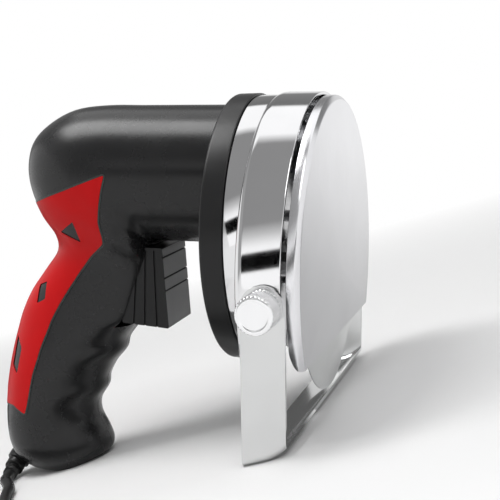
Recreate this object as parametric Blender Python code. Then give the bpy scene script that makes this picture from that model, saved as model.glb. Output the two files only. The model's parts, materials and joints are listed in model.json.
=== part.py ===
"""Electric kebab slicer: a motor-driven pistol-grip tool with a round blade, built as named sub-parts.

Tool axes while modelling: X along the blade's axis, +X towards the blade, Y across the tool, Z up the
grip, origin on the blade's axis at the face of the front guard. Every tool piece hangs on the empty
"stance", which lays the tool nose down, so that the foot of the grip and the bracket's base share z = 0.
Lengths are in metres.
"""
import math

import bmesh
import bpy
from mathutils import Matrix, Vector

# Clearances
SEAT_GAP = 0.0003
RUN_GAP = 0.00015
CUT_OVERRUN = 0.002

# Stance on the table
STANCE_TILT_DEG = 17.4
GROUND_DROP = 0.062

# Blade and its fixings
BLADE_RADIUS = 0.056
BLADE_THICKNESS = 0.0012
BLADE_BEVEL = 0.005
BLADE_EDGE = 0.0004
HUB_RADIUS = 0.014
HUB_LENGTH = 0.006
NUT_RADIUS = 0.009
NUT_THICKNESS = 0.0018
SPINDLE_RADIUS = 0.004

# Front guard
GUARD_RADIUS = 0.074
GUARD_DEPTH = 0.0053
GUARD_CHAMFER = 0.0018
GUARD_WALL = 0.0014
GUARD_NUT_SPACE = 0.0006
CHORD_DROP = 0.0317
TRIM_RUN = 0.0135
POST_RADIUS = 0.003
POST_CIRCLE_RADIUS = 0.0665
POST_ANGLES_DEG = (90.0, 8.0, 172.0)

# Blade drum and neck ring
DRUM_RADIUS = 0.0755
DRUM_DEPTH = 0.0190
DRUM_WALL = 0.0015
DRUM_SHOULDER = 0.003
DRUM_GAP = 0.0018
NECK_RADIUS = 0.0587
NECK_LENGTH = 0.0088
NECK_WALL = 0.002

# Gear case
CASE_RISE = 0.0155
CASE_RADIUS = 0.0595
CASE_DEPTH = 0.0100
CASE_WALL = 0.003
CASE_SHOULDER = 0.0012
BEARING_RADIUS = 0.011
BEARING_WIDTH = 0.005
BEARING_LIP = 0.0012
BOSS_WALL = 0.0028
PILLAR_RADIUS = 0.0035
PILLAR_CIRCLE_RADIUS = 0.052
PILLAR_ANGLES_DEG = (30.0, 150.0, 270.0)
CARRIER_THICKNESS = 0.0023

# Gears: the motor's axis lies one centre distance above the blade's
GEAR_MODULE = 0.0015
GEAR_TEETH = 41
PINION_TEETH = 11
GEAR_WIDTH = 0.005
GEAR_WEB_RECESS = 0.002
GEAR_HUB_RADIUS = 0.009
GEAR_RIM_WALL = 0.005
TOOTH_DEPTH_share = 0.85
TOOTH_CLEARANCE_share = 0.18
TOOTH_TIP_HALF_share = 0.40
TOOTH_ROOT_HALF_share = 0.80

# Motor
MOTOR_RADIUS = 0.024
MOTOR_LENGTH = 0.054
STATOR_WALL = 0.0072
ARMATURE_GAP = 0.0008
COMMUTATOR_RADIUS = 0.009
COMMUTATOR_LENGTH = 0.007
BRUSH_WIDTH = 0.005
SHAFT_RADIUS = 0.0025
FAN_RADIUS = 0.021
FAN_WIDTH = 0.007
FAN_CLEARANCE = 0.005
FAN_BLADES = 7
FAN_BLADE_THICKNESS = 0.0014
FAN_DISC = 0.0015
END_BELL_LENGTH = 0.0062
MOTOR_BEARING_RADIUS = 0.008
MOTOR_BEARING_WIDTH = 0.005

# Handle housing
BARREL_RADIUS = 0.031
BARREL_UNDERSIDE = 0.0382
HANDLE_REACH = 0.083
HANDLE_DROP = 0.1145
HOUSING_WALL = 0.0025
MOTOR_RIB_WIDTH = 0.003
SPLIT_GAP = 0.0003
FOOT_FRONT = 0.0355
FOOT_LENGTH = 0.0235
FOOT_HALF_WIDTH = 0.0155
INSERT_RAISE = 0.0004
INSERT_THICKNESS = 0.0017

# Trigger
TRIGGER_HALF_WIDTH = 0.015
TRIGGER_GAP = 0.0004
TRIGGER_HEIGHT = 0.0372
TRIGGER_GROOVE = 0.0008
TRIGGER_GROOVE_WIDTH = 0.0011
TRIGGER_PIN_RADIUS = 0.0016
TRIGGER_PIN_REACH = 0.0172

# Switch and its plunger
SWITCH_LENGTH = 0.019
SWITCH_HEIGHT = 0.021
SWITCH_HALF_WIDTH = 0.0085
PLUNGER_RADIUS = 0.0025
PLUNGER_HEAD_RADIUS = 0.0036
PLUNGER_STEM = 0.009
RIB_THICKNESS = 0.002

# Screws
SCREW_RADIUS = 0.0014
SCREW_HEAD_RADIUS = 0.0027
SCREW_HEAD_HEIGHT = 0.0018
COLUMN_RADIUS = 0.0042
CASE_SCREW_LENGTH = 0.010
CASE_SCREW_ANGLES_DEG = (45.0, 135.0, 225.0, 315.0)
DRUM_SCREW_LENGTH = 0.009
HOUSING_SCREW_GRIP = 0.006

# Thickness bracket and its thumb knobs
BRACKET_WIDTH = 0.018
BRACKET_THICKNESS = 0.0018
BRACKET_HALF_SPAN = 0.0778
BRACKET_CORNER = 0.0032
BRACKET_FRONT_SETBACK = 0.0048
BRACKET_CURL = 0.0033
BRACKET_TRAVEL = 0.004
KNOB_DROP = 0.0048
KNOB_RADIUS = 0.0079
KNOB_LENGTH = 0.0112
KNOB_FLUTES = 20
KNOB_FLUTE_DEPTH = 0.0005
KNOB_CHAMFER = 0.0007
STUD_RADIUS = 0.0025
STUD_LENGTH = 0.014

# Mains cord, its boot, coil and plug
CORD_RADIUS = 0.0027
CORD_SIDES_STEP = 3
BOOT_BEND_LENGTH = 0.014
BOOT_COLLAR_LENGTH = 0.0015
BOOT_BASE_RADIUS = 0.0056
BOOT_NECK_RADIUS = 0.0043
BOOT_FLANGE_RADIUS = 0.0062
BOOT_END_RADIUS = 0.0035
BOOT_GROOVE = 0.0006
BOOT_STEP_share = 1.5
BOOT_HEADING = (-0.62, -0.45, -0.64)
BOOT_END_HEADING = (0.30, -0.95, -0.04)
COIL_MEAN_RADIUS = 0.0324
COIL_LOOPS = 7
COIL_LAYERS = 2
COIL_PITCH = 0.0061
COIL_POINTS_PER_LOOP = 24
COIL_LAYER_RISE = 0.0062
TIE_THICKNESS = 0.0012
TIE_WIDTH = 0.006
PLUG_LENGTH = 0.036
PLUG_RADIUS = 0.0175
PIN_RADIUS = 0.0024
PIN_LENGTH = 0.019
PIN_SPREAD = 0.0095

# Facet counts
ROUND_LARGE = 48
ROUND_MEDIUM = 24
ROUND_BEARING = 20
ROUND_SMALL = 12
ROUND_TINY = 8
SECTION_STEPS = 11
ROW_STEPS = 1

# Derived places along the tool
GUARD_REAR_X = -GUARD_DEPTH
DRUM_FRONT_X = GUARD_REAR_X - DRUM_GAP
DRUM_REAR_X = DRUM_FRONT_X - DRUM_DEPTH
NECK_FRONT_X = DRUM_REAR_X - SEAT_GAP
NECK_REAR_X = NECK_FRONT_X - NECK_LENGTH
CASE_FRONT_X = NECK_REAR_X - SEAT_GAP
CASE_REAR_X = CASE_FRONT_X - CASE_DEPTH
CASE_FLOOR_X = CASE_REAR_X + CASE_WALL
BARREL_FRONT_X = CASE_REAR_X - SEAT_GAP
CROOK_X = BARREL_FRONT_X - BARREL_UNDERSIDE
MOTOR_Z = GEAR_MODULE * (GEAR_TEETH + PINION_TEETH) / 2
CROOK_Z = MOTOR_Z - BARREL_RADIUS
REAR_BEARING_X = CASE_FLOOR_X + SEAT_GAP
GEAR_REAR_X = REAR_BEARING_X + BEARING_WIDTH + BEARING_LIP / 2
GEAR_FRONT_X = GEAR_REAR_X + GEAR_WIDTH
DRUM_FLOOR_X = DRUM_REAR_X + DRUM_WALL
CARRIER_FRONT_X = DRUM_REAR_X - SEAT_GAP
CARRIER_REAR_X = CARRIER_FRONT_X - CARRIER_THICKNESS
NUT_FRONT_X = -GUARD_WALL - GUARD_NUT_SPACE
NUT_REAR_X = NUT_FRONT_X - NUT_THICKNESS
BLADE_FRONT_X = NUT_REAR_X - SEAT_GAP
BLADE_REAR_X = BLADE_FRONT_X - BLADE_THICKNESS
HUB_FRONT_X = BLADE_REAR_X - SEAT_GAP
HUB_REAR_X = HUB_FRONT_X - HUB_LENGTH
BRACKET_FRONT_X = -BRACKET_FRONT_SETBACK
BRACKET_MID_X = BRACKET_FRONT_X - BRACKET_WIDTH / 2
MOTOR_FRONT_BEARING_X = CASE_REAR_X + SEAT_GAP
FAN_FRONT_X = BARREL_FRONT_X - FAN_CLEARANCE
FAN_REAR_X = FAN_FRONT_X - FAN_WIDTH
STATOR_FRONT_X = FAN_REAR_X - BEARING_LIP
STATOR_REAR_X = STATOR_FRONT_X - MOTOR_LENGTH
END_BELL_FRONT_X = STATOR_REAR_X - SEAT_GAP
END_BELL_REAR_X = END_BELL_FRONT_X - END_BELL_LENGTH
BAY_RADIUS = BARREL_RADIUS - HOUSING_WALL
BAY_REAR_X = END_BELL_REAR_X - SEAT_GAP

# Housing sections, from the crook of the grip down to its heel. Each row: inner point (x, z), outer
# point (x, z), half width, and how square the inner side is. The x shares are of HANDLE_REACH behind
# the crook, z shares of the barrel's height above it and of HANDLE_DROP below it, widths of the radius.
SECTION_shares = (
    (-0.060, 0.000, 0.072, 1.000, 1.000, 2.0),
    (-0.012, 0.000, 0.289, 1.000, 1.000, 2.0),
    (0.004, -0.005, 0.482, 0.968, 0.990, 2.2),
    (0.007, -0.014, 0.639, 0.863, 0.955, 2.6),
    (0.010, -0.026, 0.735, 0.734, 0.900, 3.0),
    (0.012, -0.042, 0.771, 0.556, 0.840, 3.5),
    (0.018, -0.061, 0.757, 0.379, 0.760, 4.0),
    (0.030, -0.083, 0.705, 0.202, 0.680, 4.5),
    (0.045, -0.114, 0.627, 0.048, 0.620, 5.0),
    (0.062, -0.153, 0.617, -0.048, 0.590, 5.0),
    (0.084, -0.201, 0.699, -0.131, 0.582, 5.0),
    (0.108, -0.253, 0.795, -0.223, 0.585, 5.0),
    (0.132, -0.310, 0.861, -0.314, 0.590, 4.5),
    (0.163, -0.354, 0.895, -0.384, 0.600, 3.0),
    (0.224, -0.415, 0.923, -0.450, 0.613, 2.4),
    (0.246, -0.467, 0.945, -0.507, 0.620, 2.3),
    (0.311, -0.524, 0.964, -0.568, 0.626, 2.2),
    (0.357, -0.585, 0.980, -0.633, 0.629, 2.2),
    (0.369, -0.633, 0.989, -0.686, 0.629, 2.2),
    (0.424, -0.699, 0.998, -0.747, 0.629, 2.2),
    (0.424, -0.760, 1.000, -0.803, 0.632, 2.2),
    (0.377, -0.825, 0.998, -0.852, 0.639, 2.2),
    (0.354, -0.873, 0.986, -0.895, 0.645, 2.2),
    (0.365, -0.907, 0.954, -0.940, 0.626, 2.2),
    (0.390, -0.924, 0.855, -0.990, 0.565, 2.2),
)
CAVITY_FIRST_ROW = 5
CAVITY_LAST_ROW = 23

# Side outlines of the grip's insert and its three windows, in the same shares as the sections
INSERT_shares = (
    (0.90, 0.20), (0.720, 0.270), (0.440, 0.400), (0.170, 0.530), (0.195, 0.420), (0.216, 0.310),
    (0.238, 0.180), (0.230, 0.070), (0.236, 0.015), (0.330, -0.048), (0.410, -0.118), (0.478, -0.186),
    (0.532, -0.242), (0.595, -0.318), (0.667, -0.436), (0.730, -0.562), (0.770, -0.687),
    (0.787, -0.730), (0.880, -0.702), (1.10, -0.722), (1.10, -0.10),
)
WINDOW_shares = (
    ((0.505, 0.085), (0.400, 0.175), (0.375, 0.015)),
    ((0.700, -0.188), (0.640, -0.170), (0.643, -0.240), (0.706, -0.262)),
    ((0.862, -0.412), (0.850, -0.420), (0.815, -0.455), (0.845, -0.560), (0.856, -0.566), (0.894, -0.536)),
)

# Trigger outlines in shares of its height, from its hinge: the lever, then the lines of its grooves
TRIGGER_shares = (
    (0.318, 0.105), (0.376, -0.890), (-0.242, -0.845), (-0.175, -0.480), (-0.135, 0.045),
    (-0.070, 0.098), (0.060, 0.108),
)
TRIGGER_FACE_GROOVE_shares = (-0.010, -0.265, -0.420)
TRIGGER_SIDE_RIB_shares = ((0.100, -0.060), (0.185, 0.105))
HINGE_shares = (0.072, -0.048)
POCKET_shares = (
    (-0.300, -0.009), (0.170, -0.009), (0.290, -0.140), (0.290, -0.345), (-0.300, -0.345),
)
SWITCH_shares = (0.300, -0.115)
PLUNGER_Z_share = -0.190
COLUMN_shares = ((0.640, 0.680), (0.330, -0.440), (0.610, -0.600), (0.690, -0.880))
BOOT_EXIT_shares = (0.928, -0.955)

# Route of the cord over the table, behind the boot
CORD_ROUTE = (
    (-0.0925, -0.0360, 0.0028), (-0.0866, -0.0490, 0.0027), (-0.0800, -0.0620, 0.0027),
    (-0.0728, -0.0745, 0.0027), (-0.0652, -0.0870, 0.0027), (-0.0576, -0.0995, 0.0027),
    (-0.0505, -0.1125, 0.0027), (-0.0445, -0.1260, 0.0027), (-0.0396, -0.1400, 0.0027),
    (-0.0361, -0.1550, 0.0027), (-0.0338, -0.1710, 0.0027), (-0.0325, -0.1870, 0.0028),
)
COIL_CENTRE = (-0.0750, -0.2050)
PLUG_ROUTE = (
    (-0.0312, -0.2270, 0.0076), (-0.0278, -0.2382, 0.0052), (-0.0205, -0.2470, 0.0036),
    (-0.0095, -0.2522, 0.0028), (0.0040, -0.2538, 0.0028), (0.0180, -0.2538, 0.0028),
    (0.0320, -0.2537, 0.0028), (0.0460, -0.2533, 0.0028), (0.0594, -0.2500, 0.0032),
    (0.0677, -0.2420, 0.0046), (0.0708, -0.2308, 0.0070), (0.0677, -0.2195, 0.0102),
    (0.0594, -0.2115, 0.0138),
)
PLUG_START = (0.0370, -0.2080)
PLUG_TURN_DEG = 180.0

# Side of the plug's body, as shares of its length and radius
PLUG_shares = ((0.0, 0.314), (0.30, 0.393), (0.36, 0.72), (0.52, 1.0), (0.95, 1.0), (1.0, 0.90))


def clear_scene():
    """Removes whatever the file opened with."""
    for item in list(bpy.data.objects):
        bpy.data.objects.remove(item, do_unlink=True)


def material(name, colour, roughness, metallic=0.0):
    """One Principled material."""
    mat = bpy.data.materials.new(name)
    mat.use_nodes = True
    shader = mat.node_tree.nodes["Principled BSDF"]
    shader.inputs["Base Color"].default_value = (*colour, 1.0)
    shader.inputs["Roughness"].default_value = roughness
    shader.inputs["Metallic"].default_value = metallic
    return mat


def add_object(name, bm, mat, parent, sharp_deg=35.0):
    """Turns a bmesh into a smooth-shaded object under its parent."""
    bmesh.ops.recalc_face_normals(bm, faces=bm.faces)
    mesh = bpy.data.meshes.new(name)
    bm.to_mesh(mesh)
    bm.free()
    mesh.shade_smooth()
    mesh.set_sharp_from_angle(angle=math.radians(sharp_deg))
    if mat is not None:
        mesh.materials.append(mat)
    obj = bpy.data.objects.new(name, mesh)
    bpy.context.collection.objects.link(obj)
    obj.parent = parent
    return obj


def as_cutter(obj):
    """Marks an object as a guide that other pieces are cut by."""
    obj.hide_render = True
    obj.display_type = "WIRE"
    return obj


def boolean(obj, other, operation="DIFFERENCE"):
    """Cuts, joins or crosses one object with another."""
    mod = obj.modifiers.new(other.name, "BOOLEAN")
    mod.object = other
    mod.operation = operation
    mod.solver = "EXACT"


def place(obj, x=0.0, y=0.0, z=0.0):
    """Puts an object at a point of its parent's axes."""
    obj.location = (x, y, z)
    return obj


def loft(bm, rings, closed_ends=True):
    """Skins rings of points, each ring closed on itself, and caps both ends."""
    loops = [[bm.verts.new(point) for point in ring] for ring in rings]
    for first, second in zip(loops, loops[1:]):
        count = len(first)
        for i in range(count):
            j = (i + 1) % count
            bm.faces.new((first[i], first[j], second[j], second[i]))
    if closed_ends:
        bm.faces.new(loops[0])
        bm.faces.new(loops[-1])


def spin_profile(bm, profile, steps, closed=False):
    """Turns a profile of (x, radius) points about the X axis."""
    verts = [bm.verts.new((x, 0.0, r)) for x, r in profile]
    edges = [bm.edges.new(pair) for pair in zip(verts, verts[1:])]
    if closed:
        edges.append(bm.edges.new((verts[-1], verts[0])))
    bmesh.ops.spin(bm, geom=verts + edges, cent=(0.0, 0.0, 0.0), axis=(1.0, 0.0, 0.0),
                   angle=math.tau, steps=steps, use_merge=True)
    if not closed:
        ends = [e for e in bm.edges if e.is_boundary]
        bmesh.ops.holes_fill(bm, edges=ends, sides=0)


def lathe_into(bm, profile, origin, direction, steps=ROUND_SMALL):
    """Adds a body turned from (distance, radius) points about a line through origin."""
    piece = bmesh.new()
    spin_profile(piece, profile, steps)
    turn = Vector(direction).to_track_quat("X", "Z").to_matrix().to_4x4()
    piece.transform(Matrix.Translation(origin) @ turn)
    mesh = bpy.data.meshes.new("lathe")
    bmesh.ops.recalc_face_normals(piece, faces=piece.faces)
    piece.to_mesh(mesh)
    piece.free()
    bm.from_mesh(mesh)
    bpy.data.meshes.remove(mesh)


def turned(name, profile, mat, parent, steps=ROUND_MEDIUM, closed=False, centre=(0.0, 0.0, 0.0)):
    """A piece turned about X, with its origin at centre."""
    bm = bmesh.new()
    spin_profile(bm, profile, steps, closed)
    return place(add_object(name, bm, mat, parent), *centre)


def ring_profile(x0, x1, inner, outer, chamfer=0.0):
    """Section of a plain ring, with its outer edges chamfered."""
    c = chamfer
    if c == 0.0:
        return [(x0, inner), (x0, outer), (x1, outer), (x1, inner)]
    return [(x0, inner), (x0, outer - c), (x0 + c, outer), (x1 - c, outer), (x1, outer - c), (x1, inner)]


def prism(bm, outline, half_width, offset=0.0):
    """Extrudes an (x, z) outline along Y, over both sides of y = offset."""
    verts = [bm.verts.new((x, offset - half_width, z)) for x, z in outline]
    face = bm.faces.new(verts)
    moved = bmesh.ops.extrude_face_region(bm, geom=[face])
    top = [v for v in moved["geom"] if isinstance(v, bmesh.types.BMVert)]
    bmesh.ops.translate(bm, verts=top, vec=(0.0, 2 * half_width, 0.0))


def box(bm, low, high):
    """A box between two corners."""
    size = [b - a for a, b in zip(low, high)]
    centre = [(a + b) / 2 for a, b in zip(low, high)]
    matrix = Matrix.Translation(centre) @ Matrix.Diagonal((*size, 1.0))
    bmesh.ops.create_cube(bm, size=1.0, matrix=matrix)


def rod(bm, start, end, radius, steps=ROUND_SMALL):
    """A round bar between two points."""
    start, end = Vector(start), Vector(end)
    run = end - start
    turn = run.to_track_quat("Z", "Y").to_matrix().to_4x4()
    matrix = Matrix.Translation((start + end) / 2) @ turn
    bmesh.ops.create_cone(bm, cap_ends=True, segments=steps, radius1=radius, radius2=radius,
                          depth=run.length, matrix=matrix)


def ring_place(radius, angle_deg, rise=0.0):
    """Point (y, z) on a circle about the X axis."""
    angle = math.radians(angle_deg)
    return radius * math.cos(angle), rise + radius * math.sin(angle)


def side_point(x_share, z_share):
    """Point (x, z) of the handle's side view."""
    height = 2 * BARREL_RADIUS if z_share > 0 else HANDLE_DROP
    return CROOK_X - x_share * HANDLE_REACH, CROOK_Z + z_share * height


def side_outline(table):
    """The points of a table of shares."""
    return [side_point(*pair) for pair in table]


def grown(outline, distance):
    """Moves an (x, z) outline outwards by a distance, along its corners' bisectors."""
    count = len(outline)
    area = sum(outline[i][0] * outline[(i + 1) % count][1] - outline[(i + 1) % count][0] * outline[i][1]
               for i in range(count))
    turn = 1.0 if area > 0 else -1.0
    moved = []
    for i in range(count):
        here = Vector(outline[i])
        before = (here - Vector(outline[i - 1])).normalized()
        after = (Vector(outline[(i + 1) % count]) - here).normalized()
        normal_a = Vector((before.y, -before.x)) * turn
        normal_b = Vector((after.y, -after.x)) * turn
        bisector = (normal_a + normal_b).normalized()
        moved.append(here + bisector * distance / max(bisector.dot(normal_a), 0.5))
    return [(p.x, p.y) for p in moved]


def ground_z(x):
    """Height of the table under the tilted tool, in tool axes."""
    return -GROUND_DROP + x * math.tan(math.radians(STANCE_TILT_DEG))


def foot_row():
    """The flat foot under the heel, which lies on the table."""
    front_x = CROOK_X - FOOT_FRONT
    rear_x = front_x - FOOT_LENGTH
    return (front_x, ground_z(front_x), rear_x, ground_z(rear_x), FOOT_HALF_WIDTH, 2.2)


def housing_rows():
    """Sections in real sizes, from the front of the barrel to the foot."""
    top = MOTOR_Z + BARREL_RADIUS
    rows = [(x, CROOK_Z, x, top, BARREL_RADIUS, 2.0)
            for x in (BARREL_FRONT_X, (BARREL_FRONT_X + CROOK_X) / 2)]
    for in_x, in_z, out_x, out_z, width, power in SECTION_shares:
        rows.append((*side_point(in_x, in_z), *side_point(out_x, out_z), width * BARREL_RADIUS, power))
    rows.append(foot_row())
    return rows


def smooth_rows(rows, steps):
    """Adds in-between sections on a Catmull-Rom curve through the rows."""
    if steps < 2:
        return rows
    result = []
    for i in range(len(rows) - 1):
        quad = [rows[max(i - 1, 0)], rows[i], rows[i + 1], rows[min(i + 2, len(rows) - 1)]]
        for step in range(steps):
            t = step / steps
            weights = (-t / 2 + t * t - t ** 3 / 2, 1 - 2.5 * t * t + 1.5 * t ** 3,
                       t / 2 + 2 * t * t - 1.5 * t ** 3, -t * t / 2 + t ** 3 / 2)
            result.append(tuple(sum(w * row[k] for w, row in zip(weights, quad)) for k in range(6)))
    result.append(rows[-1])
    return result


def section(row, inset, steps, half=0):
    """One ring of the housing: half 0 gives the whole ring, -1 or 1 the near or far half."""
    in_x, in_z, out_x, out_z, width, power = row
    inner, outer = Vector((in_x, 0.0, in_z)), Vector((out_x, 0.0, out_z))
    centre = (inner + outer) / 2
    along = (outer - inner).normalized()
    reach = (outer - inner).length / 2 - inset
    width = width - inset
    count = steps + 1 if half else 2 * steps
    ring = []
    for i in range(count):
        angle = math.pi * i / steps
        c, s = math.cos(angle), math.sin(angle)
        squareness = 2.0 / (2.0 if c > 0 else power)
        y = (half or 1) * width * math.copysign(abs(s) ** squareness if abs(s) > 1e-9 else 0.0, s)
        if half:
            y = half * max(abs(y), SPLIT_GAP / 2)
        ring.append(centre + along * (reach * c if c > 0 else -reach * abs(c) ** squareness)
                    + Vector((0.0, y, 0.0)))
    return ring


def housing_body(name, inset, steps, row_steps, half=0, first=0, last=None, mat=None, parent=None):
    """The handle's shape, whole or half, drawn in by inset."""
    rows = housing_rows()[first:last]
    bm = bmesh.new()
    loft(bm, [section(row, inset, steps, half) for row in smooth_rows(rows, row_steps)])
    bmesh.ops.triangulate(bm, faces=bm.faces)
    return add_object(name, bm, mat, parent)


def hinge_point():
    """Where the trigger's pin crosses the side view."""
    return side_point(*HINGE_shares)


def stance_matrix():
    """Turn of the tilted tool against the world."""
    return Matrix.Rotation(math.radians(STANCE_TILT_DEG), 3, "Y")


def boot_exit():
    """Where the boot's axis leaves the heel, and its direction, in tool axes."""
    x, z = side_point(*BOOT_EXIT_shares)
    direction = stance_matrix().inverted() @ Vector(BOOT_HEADING).normalized()
    return Vector((x, 0.0, z)), direction


def case_screw_places():
    """Centres (y, z) of the screws that hold the barrel to the gear case."""
    circle = (BAY_RADIUS + MOTOR_RADIUS + SEAT_GAP) / 2 + SCREW_RADIUS / 2
    return [ring_place(circle, angle, MOTOR_Z) for angle in CASE_SCREW_ANGLES_DEG]


def pillar_places():
    """Centres (y, z) of the gear case's screw pillars."""
    return [ring_place(PILLAR_CIRCLE_RADIUS, angle, CASE_RISE) for angle in PILLAR_ANGLES_DEG]


def column_places():
    """Points (x, z) of the screw columns that join the housing's halves."""
    return [side_point(*pair) for pair in COLUMN_shares]


def housing_half_width(x, z):
    """Distance of the housing's side from the middle plane at a point of the side view."""
    point = Vector((x, z))
    nearest, best = 0.0, math.inf
    for in_x, in_z, out_x, out_z, width, power in housing_rows():
        inner, outer = Vector((in_x, in_z)), Vector((out_x, out_z))
        along = outer - inner
        t = min(max((point - inner).dot(along) / along.length_squared, 0.0), 1.0)
        distance = (inner + along * t - point).length
        if distance < best:
            share = abs(2 * t - 1)
            exponent = 2.0 if t > 0.5 else power
            best, nearest = distance, width * (1 - share ** exponent) ** (1 / exponent)
    return nearest


def motor_bay(parent):
    """Round bay of the motor, with two ribs that hold the stator."""
    rib = MOTOR_RADIUS + SEAT_GAP
    front_rib_x = STATOR_FRONT_X - MOTOR_RIB_WIDTH
    rear_rib_x = STATOR_REAR_X + 2 * MOTOR_RIB_WIDTH
    profile = [
        (BARREL_FRONT_X + CUT_OVERRUN, rib), (front_rib_x - MOTOR_RIB_WIDTH, rib),
        (front_rib_x - MOTOR_RIB_WIDTH, BAY_RADIUS), (rear_rib_x, BAY_RADIUS), (rear_rib_x, rib),
        (BAY_REAR_X, rib),
    ]
    bm = bmesh.new()
    spin_profile(bm, profile, ROUND_MEDIUM)
    return as_cutter(place(add_object("motor_bay", bm, None, parent), 0.0, 0.0, MOTOR_Z))


def grip_cavity(parent):
    """Inner space of the grip, less the screw columns and the ribs that cradle the switch."""
    cavity = housing_body("grip_cavity", HOUSING_WALL, SECTION_STEPS // 2 + 1, 1,
                          first=CAVITY_FIRST_ROW + 2, last=CAVITY_LAST_ROW + 2, parent=parent)
    as_cutter(cavity)
    bm = bmesh.new()
    for x, z in column_places():
        rod(bm, (x, -BARREL_RADIUS, z), (x, BARREL_RADIUS, z), COLUMN_RADIUS, ROUND_TINY)
    columns = as_cutter(add_object("screw_columns", bm, None, parent))
    boolean(cavity, columns)
    bm = bmesh.new()
    front_x, top_z = side_point(*SWITCH_shares)
    for x in (front_x - RIB_THICKNESS, front_x - SWITCH_LENGTH + 2 * RIB_THICKNESS):
        for side in (-1, 1):
            near = side * (SWITCH_HALF_WIDTH + SEAT_GAP)
            far = side * BARREL_RADIUS
            box(bm, (x - RIB_THICKNESS, min(near, far), top_z - SWITCH_HEIGHT),
                (x, max(near, far), top_z))
    ribs = as_cutter(add_object("switch_ribs", bm, None, parent))
    boolean(cavity, ribs)
    return cavity


def insert_zone(parent):
    """The layer of the grip that the coloured insert takes, a little larger than the insert."""
    bm = bmesh.new()
    prism(bm, grown(side_outline(INSERT_shares), SEAT_GAP), BARREL_RADIUS + CUT_OVERRUN)
    zone = as_cutter(add_object("insert_zone", bm, None, parent))
    core = as_cutter(housing_body("insert_seat", INSERT_THICKNESS + SEAT_GAP - INSERT_RAISE,
                                  SECTION_STEPS, ROW_STEPS, parent=parent))
    boolean(zone, core)
    return zone


def build_housing(parent, plastic):
    """Two moulded halves of the barrel and grip, split along the middle."""
    bay = motor_bay(parent)
    cavity = grip_cavity(parent)
    zone = insert_zone(parent)
    bm = bmesh.new()
    prism(bm, side_outline(POCKET_shares), TRIGGER_HALF_WIDTH + TRIGGER_GAP)
    pocket = as_cutter(add_object("trigger_pocket", bm, None, parent))
    holes = housing_holes(parent)
    boot = boot_hole(parent)
    for name, side in (("housing_near", -1), ("housing_far", 1)):
        half = housing_body(name, 0.0, SECTION_STEPS, ROW_STEPS, half=side, mat=plastic, parent=parent)
        for cutter in (bay, pocket, cavity, zone, holes, boot):
            boolean(half, cutter)


def housing_holes(parent):
    """Screw holes and hinge bores of both halves, as one set of cutters."""
    bm = bmesh.new()
    for y, z in case_screw_places():
        rod(bm, (BARREL_FRONT_X + CUT_OVERRUN, y, z),
            (BARREL_FRONT_X - CASE_SCREW_LENGTH - SEAT_GAP, y, z), SCREW_RADIUS + SEAT_GAP, ROUND_TINY)
    shank, head = SCREW_RADIUS + SEAT_GAP, SCREW_HEAD_RADIUS + SEAT_GAP
    for x, z in column_places():
        seat = housing_half_width(x, z) - 3 * SCREW_HEAD_HEIGHT
        lathe_into(bm, [(-HOUSING_SCREW_GRIP - SEAT_GAP, shank), (seat, shank), (seat, head),
                        (2 * BARREL_RADIUS, head)], (x, 0.0, z), (0.0, 1.0, 0.0), ROUND_SMALL)
    x, z = hinge_point()
    reach = TRIGGER_PIN_REACH + SEAT_GAP
    rod(bm, (x, -reach, z), (x, reach, z), TRIGGER_PIN_RADIUS + RUN_GAP, ROUND_SMALL)
    return as_cutter(add_object("housing_holes", bm, None, parent))


def boot_hole(parent):
    """Stepped hole in the heel that holds the flange and the collar of the boot."""
    exit_point, direction = boot_exit()
    neck, flange = BOOT_NECK_RADIUS + SEAT_GAP, BOOT_FLANGE_RADIUS + SEAT_GAP
    collar = BOOT_BASE_RADIUS + 2 * SEAT_GAP
    step = HOUSING_WALL * BOOT_STEP_share
    bm = bmesh.new()
    lathe_into(bm, [(-BOOT_BEND_LENGTH, flange), (-step, flange), (-step, neck), (0.0, neck),
                    (0.0, collar), (BOOT_BEND_LENGTH, collar)], exit_point, direction, ROUND_BEARING)
    return as_cutter(add_object("boot_hole", bm, None, parent))


def build_insert(parent, red):
    """Coloured shell that wraps the back of the grip, with three windows on each side."""
    insert = housing_body("grip_insert", -INSERT_RAISE, SECTION_STEPS, ROW_STEPS, mat=red, parent=parent)
    bm = bmesh.new()
    prism(bm, side_outline(INSERT_shares), BARREL_RADIUS + CUT_OVERRUN)
    shape = as_cutter(add_object("insert_shape", bm, None, parent))
    core = as_cutter(housing_body("insert_core", INSERT_THICKNESS - INSERT_RAISE, SECTION_STEPS,
                                  ROW_STEPS, parent=parent))
    bm = bmesh.new()
    for table in WINDOW_shares:
        prism(bm, side_outline(table), BARREL_RADIUS + CUT_OVERRUN)
    windows = as_cutter(add_object("insert_windows", bm, None, parent))
    boolean(insert, shape, "INTERSECT")
    boolean(insert, core)
    boolean(insert, windows)


def arc(cx, cr, radius, start_deg, end_deg, steps):
    """Points of a round corner in a turned profile."""
    angles = [math.radians(start_deg + (end_deg - start_deg) * i / steps) for i in range(steps + 1)]
    return [(cx + radius * math.cos(a), cr + radius * math.sin(a)) for a in angles]


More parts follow.
